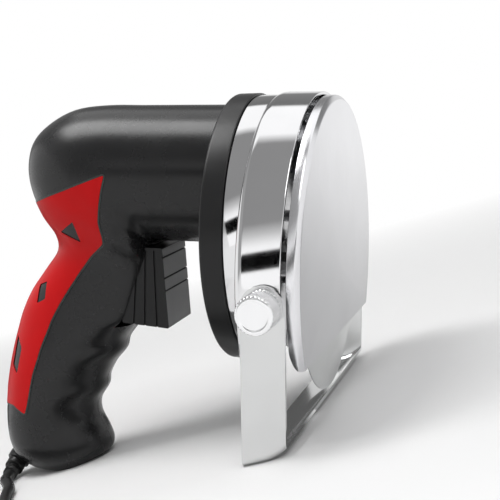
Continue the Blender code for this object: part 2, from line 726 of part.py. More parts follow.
def build_gear_case(parent, plastic):
    """Round case behind the drum, a cup open to the front, with bearing seats and screw pillars."""
    s = CASE_SHOULDER
    shoulder = arc(CASE_REAR_X + s, CASE_RADIUS - s, s, 180.0, 90.0, 4)
    profile = shoulder + [(CASE_FRONT_X, CASE_RADIUS), (CASE_FRONT_X, CASE_RADIUS - CASE_WALL),
                          (CASE_FLOOR_X, CASE_RADIUS - CASE_WALL)]
    bm = bmesh.new()
    spin_profile(bm, profile, ROUND_LARGE)
    case = place(add_object("gear_case", bm, plastic, parent), 0.0, 0.0, CASE_RISE)
    bm = bmesh.new()
    buried = CASE_FLOOR_X - CASE_WALL / 2
    rod(bm, (buried, 0.0, 0.0), (REAR_BEARING_X + BEARING_WIDTH, 0.0, 0.0),
        BEARING_RADIUS + BOSS_WALL, ROUND_MEDIUM)
    rod(bm, (buried, 0.0, MOTOR_Z), (MOTOR_FRONT_BEARING_X + MOTOR_BEARING_WIDTH, 0.0, MOTOR_Z),
        MOTOR_BEARING_RADIUS + BOSS_WALL, ROUND_MEDIUM)
    for y, z in pillar_places():
        rod(bm, (buried, y, z), (CARRIER_REAR_X - SEAT_GAP, y, z), PILLAR_RADIUS, ROUND_SMALL)
    boolean(case, as_cutter(add_object("case_bosses", bm, None, parent)), "UNION")
    bm = bmesh.new()
    rod(bm, (CASE_FLOOR_X, 0.0, 0.0), (NECK_REAR_X, 0.0, 0.0), BEARING_RADIUS + SEAT_GAP, ROUND_MEDIUM)
    rod(bm, (CASE_REAR_X - CUT_OVERRUN, 0.0, MOTOR_Z), (NECK_REAR_X, 0.0, MOTOR_Z),
        MOTOR_BEARING_RADIUS + SEAT_GAP, ROUND_MEDIUM)
    for y, z in case_screw_places():
        rod(bm, (CASE_REAR_X - CUT_OVERRUN, y, z), (CASE_FLOOR_X + CUT_OVERRUN, y, z),
            SCREW_RADIUS + SEAT_GAP, ROUND_TINY)
    for y, z in pillar_places():
        rod(bm, (CARRIER_REAR_X - DRUM_SCREW_LENGTH, y, z), (CARRIER_REAR_X + CUT_OVERRUN, y, z),
            SCREW_RADIUS + SEAT_GAP, ROUND_TINY)
    boolean(case, as_cutter(add_object("case_holes", bm, None, parent)))


def build_drum(parent, steel):
    """Neck ring, bearing carrier and the polished drum, open in front and cut flat below."""
    turned("neck_ring", ring_profile(NECK_REAR_X, NECK_FRONT_X, NECK_RADIUS - NECK_WALL, NECK_RADIUS),
           steel, parent, ROUND_LARGE, True, (0.0, 0.0, CASE_RISE))
    s = DRUM_SHOULDER
    shoulder = arc(DRUM_REAR_X + s, DRUM_RADIUS - s, s, 180.0, 90.0, 4)
    bore = BEARING_RADIUS - BEARING_LIP
    profile = ([(DRUM_REAR_X, bore)] + shoulder
               + [(DRUM_FRONT_X, DRUM_RADIUS), (DRUM_FRONT_X, DRUM_RADIUS - DRUM_WALL),
                  (DRUM_FLOOR_X, DRUM_RADIUS - DRUM_WALL), (DRUM_FLOOR_X, bore)])
    drum = turned("blade_drum", profile, steel, parent, ROUND_LARGE, True)
    carrier_radius = NECK_RADIUS - NECK_WALL - SEAT_GAP
    carrier = turned("bearing_carrier", [(CARRIER_REAR_X, carrier_radius), (CARRIER_FRONT_X, carrier_radius)],
                     steel, parent, ROUND_LARGE, False, (0.0, 0.0, CASE_RISE))
    bm = bmesh.new()
    rod(bm, (CARRIER_FRONT_X - BEARING_WIDTH, 0.0, 0.0), (CARRIER_FRONT_X - CARRIER_THICKNESS / 2, 0.0, 0.0),
        BEARING_RADIUS + BOSS_WALL, ROUND_MEDIUM)
    boolean(carrier, as_cutter(add_object("carrier_boss", bm, None, parent)), "UNION")
    bm = bmesh.new()
    rod(bm, (CARRIER_FRONT_X - 2 * BEARING_WIDTH, 0.0, 0.0), (CARRIER_FRONT_X + CUT_OVERRUN, 0.0, 0.0),
        BEARING_RADIUS + SEAT_GAP, ROUND_MEDIUM)
    boolean(carrier, as_cutter(add_object("carrier_bore", bm, None, parent)))
    bm = bmesh.new()
    for y, z in pillar_places():
        rod(bm, (CARRIER_REAR_X - CUT_OVERRUN / 4, y, z), (DRUM_FLOOR_X + CUT_OVERRUN, y, z),
            SCREW_RADIUS + SEAT_GAP, ROUND_TINY)
    holes = as_cutter(add_object("drum_screw_holes", bm, None, parent))
    boolean(carrier, holes)
    boolean(drum, holes)
    bm = bmesh.new()
    box(bm, (DRUM_REAR_X - CUT_OVERRUN, -2 * DRUM_RADIUS, -2 * DRUM_RADIUS),
        (CUT_OVERRUN, 2 * DRUM_RADIUS, -CHORD_DROP))
    chord = as_cutter(add_object("chord_cut", bm, None, parent))
    return drum, chord


def build_guard(parent, steel, chord):
    """Shallow front cup with a flat face, cut off below so that the blade shows."""
    c = GUARD_CHAMFER
    profile = [(0.0, GUARD_RADIUS - c), (-c, GUARD_RADIUS), (GUARD_REAR_X, GUARD_RADIUS),
               (GUARD_REAR_X, GUARD_RADIUS - GUARD_WALL), (-GUARD_WALL, GUARD_RADIUS - GUARD_WALL)]
    bm = bmesh.new()
    spin_profile(bm, profile, ROUND_LARGE)
    guard = add_object("front_guard", bm, steel, parent)
    boolean(guard, chord)
    bm = bmesh.new()
    reach = GUARD_DEPTH - GUARD_WALL - SEAT_GAP
    steps = 6
    curve = []
    for i in range(steps + 1):
        t = i / steps
        curve.append((GUARD_REAR_X - SEAT_GAP + (reach + SEAT_GAP) * (1 - math.cos(math.pi * t / 2)),
                      -CHORD_DROP + TRIM_RUN * (1 - math.sin(math.pi * t / 2))))
    outline = curve + [(curve[-1][0], -2 * CHORD_DROP), (GUARD_REAR_X - CUT_OVERRUN, -2 * CHORD_DROP),
                       (GUARD_REAR_X - CUT_OVERRUN, curve[0][1])]
    prism(bm, outline, 2 * GUARD_RADIUS)
    boolean(guard, as_cutter(add_object("guard_corner_trim", bm, None, parent)))
    for number, angle in enumerate(POST_ANGLES_DEG, 1):
        y, z = ring_place(POST_CIRCLE_RADIUS, angle)
        turned(f"guard_post_{number}",
               [(DRUM_FLOOR_X + SEAT_GAP, POST_RADIUS), (-GUARD_WALL - SEAT_GAP, POST_RADIUS)],
               steel, parent, ROUND_SMALL, False, (0.0, y, z))


def build_blade(rotor, steel):
    """Spindle, clamp hub, round blade and its nut, all on the blade's axis."""
    r = SPINDLE_RADIUS
    turned("blade_spindle", [(REAR_BEARING_X, r), (NUT_FRONT_X, r)], steel, rotor, ROUND_SMALL)
    bore = SPINDLE_RADIUS + SEAT_GAP
    turned("blade_hub", [(HUB_REAR_X, bore), (HUB_REAR_X, HUB_RADIUS / 2),
                         (HUB_FRONT_X - HUB_LENGTH / 2, HUB_RADIUS), (HUB_FRONT_X, HUB_RADIUS),
                         (HUB_FRONT_X, bore)], steel, rotor, ROUND_MEDIUM, True)
    turned("blade", [(BLADE_REAR_X, bore), (BLADE_REAR_X, BLADE_RADIUS - BLADE_BEVEL),
                     (BLADE_FRONT_X - BLADE_EDGE, BLADE_RADIUS), (BLADE_FRONT_X, BLADE_RADIUS),
                     (BLADE_FRONT_X, bore)], steel, rotor, ROUND_LARGE, True)
    nut = turned("blade_nut", [(NUT_REAR_X, NUT_RADIUS), (NUT_FRONT_X, NUT_RADIUS)], steel, rotor, 6)
    bm = bmesh.new()
    rod(bm, (NUT_REAR_X - CUT_OVERRUN, 0.0, 0.0), (NUT_FRONT_X + CUT_OVERRUN, 0.0, 0.0), bore, ROUND_MEDIUM)
    boolean(nut, as_cutter(add_object("nut_bore", bm, None, rotor)))


def gear_outline(teeth, module, phase=0.0):
    """Outline of a spur gear with straight-flanked stub teeth, as (y, z) points."""
    pitch_radius = module * teeth / 2
    tip = pitch_radius + module * TOOTH_DEPTH_share
    root = pitch_radius - module * (TOOTH_DEPTH_share + TOOTH_CLEARANCE_share)
    step = math.tau / teeth
    tip_half = module * TOOTH_TIP_HALF_share / tip
    root_half = module * TOOTH_ROOT_HALF_share / root
    points = []
    for i in range(teeth):
        middle = phase + i * step
        for angle, radius in ((-root_half, root), (-tip_half, tip), (tip_half, tip), (root_half, root)):
            points.append((radius * math.cos(middle + angle), radius * math.sin(middle + angle)))
    return points


def extruded_gear(name, teeth, phase, bore, mat, parent):
    """A spur gear along X, from GEAR_REAR_X to GEAR_FRONT_X, with a bore."""
    bm = bmesh.new()
    rings = [[(x, y, z) for y, z in gear_outline(teeth, GEAR_MODULE, phase)]
             for x in (GEAR_REAR_X, GEAR_FRONT_X)]
    loft(bm, rings)
    gear = add_object(name, bm, mat, parent)
    bm = bmesh.new()
    rod(bm, (GEAR_REAR_X - CUT_OVERRUN, 0.0, 0.0), (GEAR_FRONT_X + CUT_OVERRUN, 0.0, 0.0), bore)
    boolean(gear, as_cutter(add_object(name + "_bore", bm, None, parent)))
    return gear


def build_gears(blade_rotor, motor_rotor, steel, nylon):
    """Large gear on the blade's spindle and small pinion on the motor's shaft, in mesh."""
    gear = extruded_gear("drive_gear", GEAR_TEETH, math.pi / 2, SPINDLE_RADIUS + SEAT_GAP, nylon,
                         blade_rotor)
    rim = GEAR_MODULE * GEAR_TEETH / 2 - GEAR_RIM_WALL
    bm = bmesh.new()
    spin_profile(bm, ring_profile(GEAR_FRONT_X - GEAR_WEB_RECESS, GEAR_FRONT_X + CUT_OVERRUN,
                                  GEAR_HUB_RADIUS, rim), ROUND_MEDIUM, True)
    boolean(gear, as_cutter(add_object("gear_web_recess", bm, None, blade_rotor)))
    phase = -math.pi / 2 + math.pi / PINION_TEETH
    extruded_gear("motor_pinion", PINION_TEETH, phase, SHAFT_RADIUS + SEAT_GAP, steel, motor_rotor)


def build_bearings(parent, steel):
    """Two ball bearings for the spindle and one for each end of the motor's shaft."""
    def bearing(name, x, width, outer, inner, z):
        chamfer = (outer - inner) / 20
        turned(name, ring_profile(x, x + width, inner, outer, chamfer), steel, parent, ROUND_BEARING,
               True, (0.0, 0.0, z))
    bearing("spindle_bearing_rear", REAR_BEARING_X, BEARING_WIDTH, BEARING_RADIUS,
            SPINDLE_RADIUS + RUN_GAP, 0.0)
    bearing("spindle_bearing_front", CARRIER_FRONT_X - BEARING_WIDTH, BEARING_WIDTH, BEARING_RADIUS,
            SPINDLE_RADIUS + RUN_GAP, 0.0)
    bearing("motor_bearing_front", MOTOR_FRONT_BEARING_X, MOTOR_BEARING_WIDTH, MOTOR_BEARING_RADIUS,
            SHAFT_RADIUS + RUN_GAP, MOTOR_Z)


def build_motor(parent, rotor, steel, dark, brass):
    """Stator, end bell and brushes, which stay still, and the armature and fan, which turn."""
    core = MOTOR_RADIUS - STATOR_WALL
    turned("motor_stator", ring_profile(STATOR_REAR_X, STATOR_FRONT_X, core, MOTOR_RADIUS),
           steel, parent, ROUND_MEDIUM, True, (0.0, 0.0, MOTOR_Z))
    turned("motor_end_bell",
           [(END_BELL_REAR_X, SHAFT_RADIUS + RUN_GAP), (END_BELL_REAR_X, MOTOR_RADIUS / 2),
            (END_BELL_FRONT_X - END_BELL_LENGTH / 2, MOTOR_RADIUS), (END_BELL_FRONT_X, MOTOR_RADIUS),
            (END_BELL_FRONT_X, SHAFT_RADIUS + RUN_GAP)],
           dark, parent, ROUND_MEDIUM, True, (0.0, 0.0, MOTOR_Z))
    armature_radius = core - ARMATURE_GAP
    r = SHAFT_RADIUS
    commutator_x = STATOR_REAR_X + COMMUTATOR_LENGTH / 2
    core_rear_x = commutator_x + COMMUTATOR_LENGTH + SHAFT_RADIUS
    core_front_x = STATOR_FRONT_X - COMMUTATOR_LENGTH / 2
    turned("motor_armature",
           [(END_BELL_REAR_X + SEAT_GAP, r), (commutator_x, r), (commutator_x, COMMUTATOR_RADIUS),
            (commutator_x + COMMUTATOR_LENGTH, COMMUTATOR_RADIUS), (commutator_x + COMMUTATOR_LENGTH, 2 * r),
            (core_rear_x, 2 * r), (core_rear_x, armature_radius), (core_front_x, armature_radius),
            (core_front_x, r), (GEAR_FRONT_X, r)], dark, rotor, ROUND_MEDIUM)
    for name, side in (("brush_upper", 1), ("brush_lower", -1)):
        bm = bmesh.new()
        low = COMMUTATOR_RADIUS + SEAT_GAP
        high = math.sqrt(core ** 2 - (BRUSH_WIDTH / 2) ** 2) - SEAT_GAP
        x0 = commutator_x + (COMMUTATOR_LENGTH - BRUSH_WIDTH) / 2
        box(bm, (x0, -BRUSH_WIDTH / 2, min(side * low, side * high)),
            (x0 + BRUSH_WIDTH, BRUSH_WIDTH / 2, max(side * low, side * high)))
        place(add_object(name, bm, brass, parent), 0.0, 0.0, MOTOR_Z)
    build_fan(rotor, dark)


def build_fan(rotor, mat):
    """Cooling fan: a disc on the shaft with flat blades behind it."""
    bm = bmesh.new()
    bore = SHAFT_RADIUS + SEAT_GAP
    hub = 2 * SHAFT_RADIUS
    spin_profile(bm, [(FAN_REAR_X, bore), (FAN_REAR_X, hub), (FAN_FRONT_X - FAN_DISC, hub),
                      (FAN_FRONT_X - FAN_DISC, FAN_RADIUS), (FAN_FRONT_X, FAN_RADIUS),
                      (FAN_FRONT_X, bore)], ROUND_MEDIUM, True)
    fan = add_object("motor_fan", bm, mat, rotor)
    bm = bmesh.new()
    for i in range(FAN_BLADES):
        piece = bmesh.new()
        box(piece, (FAN_REAR_X, hub + SEAT_GAP, -FAN_BLADE_THICKNESS / 2),
            (FAN_FRONT_X - FAN_DISC / 2, FAN_RADIUS - SEAT_GAP, FAN_BLADE_THICKNESS / 2))
        piece.transform(Matrix.Rotation(math.tau * i / FAN_BLADES, 4, "X"))
        mesh = bpy.data.meshes.new("fan_blade")
        piece.to_mesh(mesh)
        piece.free()
        bm.from_mesh(mesh)
        bpy.data.meshes.remove(mesh)
    boolean(fan, as_cutter(add_object("fan_blades", bm, None, rotor)), "UNION")


def build_trigger(parent, dark):
    """Wedge-shaped trigger on its hinge, with grooves across its face and ribs on its sides."""
    x0, z0 = hinge_point()
    h = TRIGGER_HEIGHT
    outline = [(x * h, z * h) for x, z in TRIGGER_shares]
    bm = bmesh.new()
    prism(bm, outline, TRIGGER_HALF_WIDTH)
    trigger = place(add_object("trigger", bm, dark, parent), x0, 0.0, z0)
    cuts = bmesh.new()
    top, bottom = Vector(outline[0]), Vector(outline[1])
    for share in TRIGGER_FACE_GROOVE_shares:
        z = share * h
        t = (top.y - z) / (top.y - bottom.y)
        x = top.x + (bottom.x - top.x) * t
        box(cuts, (x - TRIGGER_GROOVE, -TRIGGER_HALF_WIDTH - CUT_OVERRUN, z - TRIGGER_GROOVE_WIDTH / 2),
            (x + CUT_OVERRUN, TRIGGER_HALF_WIDTH + CUT_OVERRUN, z + TRIGGER_GROOVE_WIDTH / 2))
    for top_share, bottom_share in TRIGGER_SIDE_RIB_shares:
        start = Vector((top_share * h, outline[0][1] - 3 * TRIGGER_GROOVE))
        end = Vector((bottom_share * h, outline[1][1] - CUT_OVERRUN))
        across = Vector((TRIGGER_GROOVE_WIDTH / 2, 0.0))
        lines = [start - across, start + across, end + across, end - across]
        for side in (-1, 1):
            prism(cuts, [(p.x, p.y) for p in lines], TRIGGER_GROOVE,
                  side * (TRIGGER_HALF_WIDTH + TRIGGER_GROOVE / 4))
    boolean(trigger, as_cutter(place(add_object("trigger_grooves", cuts, None, parent), x0, 0.0, z0)))
    bore = bmesh.new()
    reach = TRIGGER_HALF_WIDTH + CUT_OVERRUN
    rod(bore, (0.0, -reach, 0.0), (0.0, reach, 0.0), TRIGGER_PIN_RADIUS + RUN_GAP, ROUND_SMALL)
    boolean(trigger, as_cutter(place(add_object("trigger_bore", bore, None, parent), x0, 0.0, z0)))


def build_trigger_pin(parent, steel):
    """Round pin that the trigger turns on."""
    x0, z0 = hinge_point()
    bm = bmesh.new()
    rod(bm, (0.0, -TRIGGER_PIN_REACH, 0.0), (0.0, TRIGGER_PIN_REACH, 0.0), TRIGGER_PIN_RADIUS, ROUND_SMALL)
    place(add_object("trigger_pin", bm, steel, parent), x0, 0.0, z0)


def trigger_back_x(z):
    """Where the back of the trigger lies at a height, at rest."""
    x0, z0 = hinge_point()
    share = (z - z0) / TRIGGER_HEIGHT
    for low, high in zip(TRIGGER_shares[2:], TRIGGER_shares[3:]):
        if low[1] <= share <= high[1]:
            t = (share - low[1]) / (high[1] - low[1])
            return x0 + TRIGGER_HEIGHT * (low[0] + (high[0] - low[0]) * t)
    return x0


def build_switch(parent, dark):
    """Switch block behind the trigger, and the sprung plunger that the trigger presses."""
    front_x, top_z = side_point(*SWITCH_shares)
    z = CROOK_Z + PLUNGER_Z_share * HANDLE_DROP
    bm = bmesh.new()
    box(bm, (front_x - SWITCH_LENGTH, -SWITCH_HALF_WIDTH, top_z - SWITCH_HEIGHT),
        (front_x, SWITCH_HALF_WIDTH, top_z))
    block = add_object("switch_block", bm, dark, parent)
    bm = bmesh.new()
    depth = 2 * PLUNGER_STEM
    rod(bm, (front_x + CUT_OVERRUN, 0.0, z), (front_x - depth / 2 - PLUNGER_STEM / 2, 0.0, z),
        PLUNGER_RADIUS + RUN_GAP, ROUND_SMALL)
    boolean(block, as_cutter(add_object("switch_bore", bm, None, parent)))
    head = PLUNGER_HEAD_RADIUS
    back_x = min(trigger_back_x(z - head), trigger_back_x(z + head)) - SEAT_GAP
    turned("switch_plunger",
           [(front_x - PLUNGER_STEM / 2, PLUNGER_RADIUS), (back_x - PLUNGER_RADIUS / 2, PLUNGER_RADIUS),
            (back_x - PLUNGER_RADIUS / 2, head), (back_x, head)],
           dark, parent, ROUND_SMALL, False, (0.0, 0.0, z))


def tube(name, points, radius, mat, parent=None, resolution=CORD_SIDES_STEP, radii=None):
    """A round tube along points, with filled ends."""
    data = bpy.data.curves.new(name, "CURVE")
    data.dimensions = "3D"
    data.bevel_depth = radius
    data.bevel_resolution = resolution
    data.use_fill_caps = True
    data.materials.append(mat)
    spline = data.splines.new("POLY")
    spline.points.add(len(points) - 1)
    for i, point in enumerate(points):
        spline.points[i].co = (*point, 1.0)
        spline.points[i].radius = radii[i] / radius if radii else 1.0
    obj = bpy.data.objects.new(name, data)
    bpy.context.collection.objects.link(obj)
    obj.parent = parent
    return obj


def screw_profile(length):
    """A pan-head screw, its head behind x = 0 and its shank along +x."""
    return [(-SCREW_HEAD_HEIGHT, SCREW_HEAD_RADIUS * 3 / 4), (-SCREW_HEAD_HEIGHT / 2, SCREW_HEAD_RADIUS),
            (0.0, SCREW_HEAD_RADIUS), (0.0, SCREW_RADIUS), (length, SCREW_RADIUS)]


def screw(name, head, direction, length, mat, parent):
    """A screw whose head seats at a point and whose shank runs along direction."""
    bm = bmesh.new()
    spin_profile(bm, screw_profile(length), ROUND_TINY)
    obj = add_object(name, bm, mat, parent)
    obj.rotation_mode = "QUATERNION"
    obj.rotation_quaternion = Vector(direction).to_track_quat("X", "Z")
    return place(obj, *head)


def build_screws(parent, steel):
    """Four case screws, three drum screws and four housing screws."""
    for number, (y, z) in enumerate(case_screw_places(), 1):
        screw(f"case_screw_{number}", (CASE_FLOOR_X + SEAT_GAP, y, z), (-1.0, 0.0, 0.0),
              CASE_WALL + CASE_SCREW_LENGTH - SEAT_GAP, steel, parent)
    for number, (y, z) in enumerate(pillar_places(), 1):
        if z > -CHORD_DROP + 2 * SCREW_HEAD_RADIUS:
            head_x = DRUM_FLOOR_X + SEAT_GAP
        else:
            head_x = CARRIER_FRONT_X + SEAT_GAP
        screw(f"drum_screw_{number}", (head_x, y, z), (-1.0, 0.0, 0.0), DRUM_SCREW_LENGTH, steel, parent)
    for number, (x, z) in enumerate(column_places(), 1):
        head_y = housing_half_width(x, z) - 3 * SCREW_HEAD_HEIGHT - 2 * SEAT_GAP
        screw(f"housing_screw_{number}", (x, head_y + 2 * SEAT_GAP, z), (0.0, -1.0, 0.0),
              head_y + HOUSING_SCREW_GRIP, steel, parent)


def bracket_bottom_z(x):
    """Lower face of the bracket's base: flat on the table, then curled up to the front."""
    z = ground_z(x)
    curl_start = BRACKET_MID_X
    if x > curl_start:
        z += BRACKET_CURL * ((x - curl_start) / (BRACKET_FRONT_X - curl_start)) ** 2
    return z


def build_bracket(parent, steel):
    """U-shaped strap: two slotted legs with round tops, and a base that curls up in front."""
    half = BRACKET_WIDTH / 2
    steps = 12
    rings = []
    for i in range(steps + 1):
        angle = math.pi * (1 - i / steps)
        x = BRACKET_MID_X + half * math.cos(angle)
        top = -KNOB_DROP + half * math.sin(angle) + SEAT_GAP
        low = bracket_bottom_z(x)
        outer, corner, t = BRACKET_HALF_SPAN, BRACKET_CORNER, BRACKET_THICKNESS
        ring = [(x, -outer, top)]
        for side in (-1, 1):
            turns = (0.0, 45.0, 90.0) if side < 0 else (90.0, 45.0, 0.0)
            for deg in turns:
                a = math.radians(deg)
                ring.append((x, side * (outer - corner + corner * math.cos(a)),
                             low + corner - corner * math.sin(a)))
        ring.append((x, outer, top))
        ring.append((x, outer - t, top))
        inner_corner = corner - t
        for side in (1, -1):
            turns = (0.0, 45.0, 90.0) if side > 0 else (90.0, 45.0, 0.0)
            for deg in turns:
                a = math.radians(deg)
                ring.append((x, side * (outer - corner + inner_corner * math.cos(a)),
                             low + corner - inner_corner * math.sin(a)))
        ring.append((x, -outer + t, top))
        rings.append(ring)
    bm = bmesh.new()
    loft(bm, rings)
    bracket = add_object("thickness_bracket", bm, steel, parent)
    bm = bmesh.new()
    slot_radius = STUD_RADIUS + SEAT_GAP
    outline = []
    for side in (1, -1):
        for i in range(7):
            a = math.radians(-90.0 + 180.0 * i / 6)
            outline.append((BRACKET_MID_X + side * (BRACKET_TRAVEL + slot_radius * math.cos(a)),
                            -KNOB_DROP + side * slot_radius * math.sin(a)))
    prism(bm, outline, BRACKET_HALF_SPAN + CUT_OVERRUN)
    boolean(bracket, as_cutter(add_object("bracket_slots", bm, None, parent)))


def build_studs(parent, steel):
    """Studs welded to the drum's sides, which the bracket's slots ride on."""
    foot = math.sqrt(DRUM_RADIUS ** 2 - (KNOB_DROP + STUD_RADIUS) ** 2) + SEAT_GAP / 2
    for name, side in (("stud_near", -1), ("stud_far", 1)):
        bm = bmesh.new()
        rod(bm, (0.0, side * (foot + SEAT_GAP), 0.0), (0.0, side * (foot + STUD_LENGTH), 0.0),
            STUD_RADIUS, ROUND_SMALL)
        place(add_object(name, bm, steel, parent), BRACKET_MID_X, 0.0, -KNOB_DROP)


def build_knob(name, side, parent, steel):
    """Knurled thumb nut, fluted round its rim, with a blind bore for the stud."""
    base = BRACKET_HALF_SPAN + SEAT_GAP
    rings = []
    chamfer = KNOB_CHAMFER
    for y, inset in ((base, chamfer), (base + chamfer, 0.0), (base + KNOB_LENGTH - chamfer, 0.0),
                     (base + KNOB_LENGTH, chamfer)):
        ring = []
        for i in range(2 * KNOB_FLUTES):
            angle = math.pi * i / KNOB_FLUTES
            r = KNOB_RADIUS - inset - (KNOB_FLUTE_DEPTH if i % 2 and inset == 0.0 else 0.0)
            ring.append((r * math.cos(angle), side * y, r * math.sin(angle)))
        rings.append(ring)
    bm = bmesh.new()
    loft(bm, rings)
    knob = add_object(name, bm, steel, parent, 25.0)
    bm = bmesh.new()
    foot = math.sqrt(DRUM_RADIUS ** 2 - (KNOB_DROP + STUD_RADIUS) ** 2)
    rod(bm, (0.0, side * (base - CUT_OVERRUN), 0.0), (0.0, side * (foot + STUD_LENGTH + 2 * SEAT_GAP), 0.0),
        STUD_RADIUS + RUN_GAP, ROUND_SMALL)
    boolean(knob, as_cutter(add_object(name + "_bore", bm, None, parent)))


def bend_points(start, first, last, length, steps):
    """Points along an even bend between two directions."""
    angle = first.angle(last)
    points = [start.copy()]
    here = start.copy()
    for i in range(steps):
        t = (i + 0.5) / steps
        heading = first * math.sin((1 - t) * angle) + last * math.sin(t * angle)
        here = here + heading.normalized() * length / steps
        points.append(here.copy())
    return points


def build_boot(stance, rubber):
    """Strain relief: a flanged rubber boot that leaves the heel and bends on to the table."""
    exit_point, direction = boot_exit()
    start = stance @ exit_point
    heading = (stance.to_3x3() @ direction).normalized()
    inside = HOUSING_WALL * BOOT_STEP_share
    points = [start - heading * (inside + BOOT_COLLAR_LENGTH), start - heading * (inside + SEAT_GAP),
              start - heading * inside, start + heading * SEAT_GAP, start + heading * 2 * SEAT_GAP,
              start + heading * BOOT_COLLAR_LENGTH]
    radii = [BOOT_FLANGE_RADIUS, BOOT_FLANGE_RADIUS, BOOT_NECK_RADIUS, BOOT_NECK_RADIUS,
             BOOT_BASE_RADIUS, BOOT_BASE_RADIUS]
    final = Vector(BOOT_END_HEADING).normalized()
    steps = 9
    bend = bend_points(points[-1], heading, final, BOOT_BEND_LENGTH, steps)
    for i, point in enumerate(bend[1:], 1):
        points.append(point)
        taper = BOOT_BASE_RADIUS + (BOOT_END_RADIUS - BOOT_BASE_RADIUS) * i / steps
        radii.append(taper - (BOOT_GROOVE if i % 3 == 1 else 0.0))
    points.append(points[-1] + final * BOOT_COLLAR_LENGTH)
    radii.append(BOOT_END_RADIUS)
    tube("strain_relief", points, BOOT_END_RADIUS, rubber, None, CORD_SIDES_STEP, radii)
    return points[-1], final


def spline_through(route, spacing):
    """Points of a smooth curve through a route, an even distance apart."""
    knots = [Vector(p) for p in route]
    fine = []
    for i in range(len(knots) - 1):
        a, b = knots[max(i - 1, 0)], knots[i]
        c, d = knots[i + 1], knots[min(i + 2, len(knots) - 1)]
        for step in range(20):
            t = step / 20
            fine.append(b * 1.0 + (c - a) * (t / 2) + (a * 2 - b * 5 + c * 4 - d) * (t * t / 2)
                        + (b * 3 - a - c * 3 + d) * (t ** 3 / 2))
    fine.append(knots[-1])
    total = sum((q - p).length for p, q in zip(fine, fine[1:]))
    count = max(int(round(total / spacing)), 2)
    points = [fine[0]]
    walked, target = 0.0, total / count
    for p, q in zip(fine, fine[1:]):
        run = (q - p).length
        while run > 0 and walked + run >= target - 1e-9 and len(points) < count:
            points.append(p.lerp(q, (target - walked) / run))
            target += total / count
        walked += run
    points.append(fine[-1])
    return points, total


def coil_spread():
    """How much wider the outermost loop's radius is than the innermost one's."""
    return COIL_PITCH * COIL_LOOPS / COIL_LAYERS


def coil_points():
    """Centre line of the put-away loops: in along the lower layer, up, and out along the upper."""
    spread = coil_spread()
    outer = COIL_MEAN_RADIUS + spread / 2
    total = COIL_LOOPS * COIL_POINTS_PER_LOOP
    climb = COIL_POINTS_PER_LOOP // 2
    half = total // 2
    points = []
    for i in range(total + 1):
        turned_share = min(i, total - i) / half
        radius = outer - spread * turned_share
        rise = min(max((i - half + climb / 2) / climb, 0.0), 1.0)
        smooth = rise * rise * (3 - 2 * rise)
        angle = math.tau * i / COIL_POINTS_PER_LOOP
        points.append(Vector((COIL_CENTRE[0] + radius * math.cos(angle),
                              COIL_CENTRE[1] - radius * math.sin(angle),
                              CORD_RADIUS + SEAT_GAP / 3 + COIL_LAYER_RISE * smooth)))
    return points


def self_gap(points, radius):
    """Least distance between the tube's surface and itself, away from neighbouring points."""
    least = math.inf
    for i in range(len(points)):
        for j in range(i + COIL_POINTS_PER_LOOP // 2, len(points)):
            least = min(least, (points[i] - points[j]).length)
    return least - 2 * radius


def build_cord(stance, rubber, dark, brass):
    """Cord from the boot over the table to a tied coil, and on to its plug."""
    start, heading = build_boot(stance, rubber)
    first = start + heading * SEAT_GAP
    coil = coil_points()
    print(f"coil self gap {self_gap(coil, CORD_RADIUS) * 1000:.2f} mm")
    entry = coil[0] - (coil[1] - coil[0]).normalized() * SEAT_GAP
    straight = 2 * CORD_RADIUS
    arrive = (coil[1] - coil[0]).normalized()
    route = [first, first + heading * straight, first + heading * 2 * straight]
    route += [Vector(p) for p in CORD_ROUTE]
    route += [entry - arrive * 2 * straight, entry - arrive * straight, entry]
    points, length = spline_through(route, 4.2 * CORD_RADIUS)
    tube("mains_cord", points, CORD_RADIUS, rubber)
    tube("cord_coil", coil, CORD_RADIUS, rubber, None, 1)
    leave = (coil[-1] - coil[-2]).normalized()
    lead = [coil[-1] + leave * (SEAT_GAP + step * straight) for step in range(3)]
    lead += [Vector(p) for p in PLUG_ROUTE]
    turn = math.radians(PLUG_TURN_DEG)
    plug_heading = Vector((math.cos(turn), math.sin(turn), 0.0))
    plug_end = Vector((*PLUG_START, PLUG_RADIUS + SEAT_GAP))
    lead += [plug_end - plug_heading * step * straight for step in (2, 1, 0)]
    lead_points, lead_length = spline_through(lead, 4.2 * CORD_RADIUS)
    tube("plug_lead", lead_points, CORD_RADIUS, rubber)
    coil_length = sum((q - p).length for p, q in zip(coil, coil[1:]))
    print(f"cord length {length + coil_length + lead_length:.3f} m, "
          f"{length:.3f} free, {coil_length:.3f} coiled, {lead_length:.3f} to the plug")
    build_plug(plug_end + plug_heading * SEAT_GAP, plug_heading, dark, brass)
    build_tie(rubber)


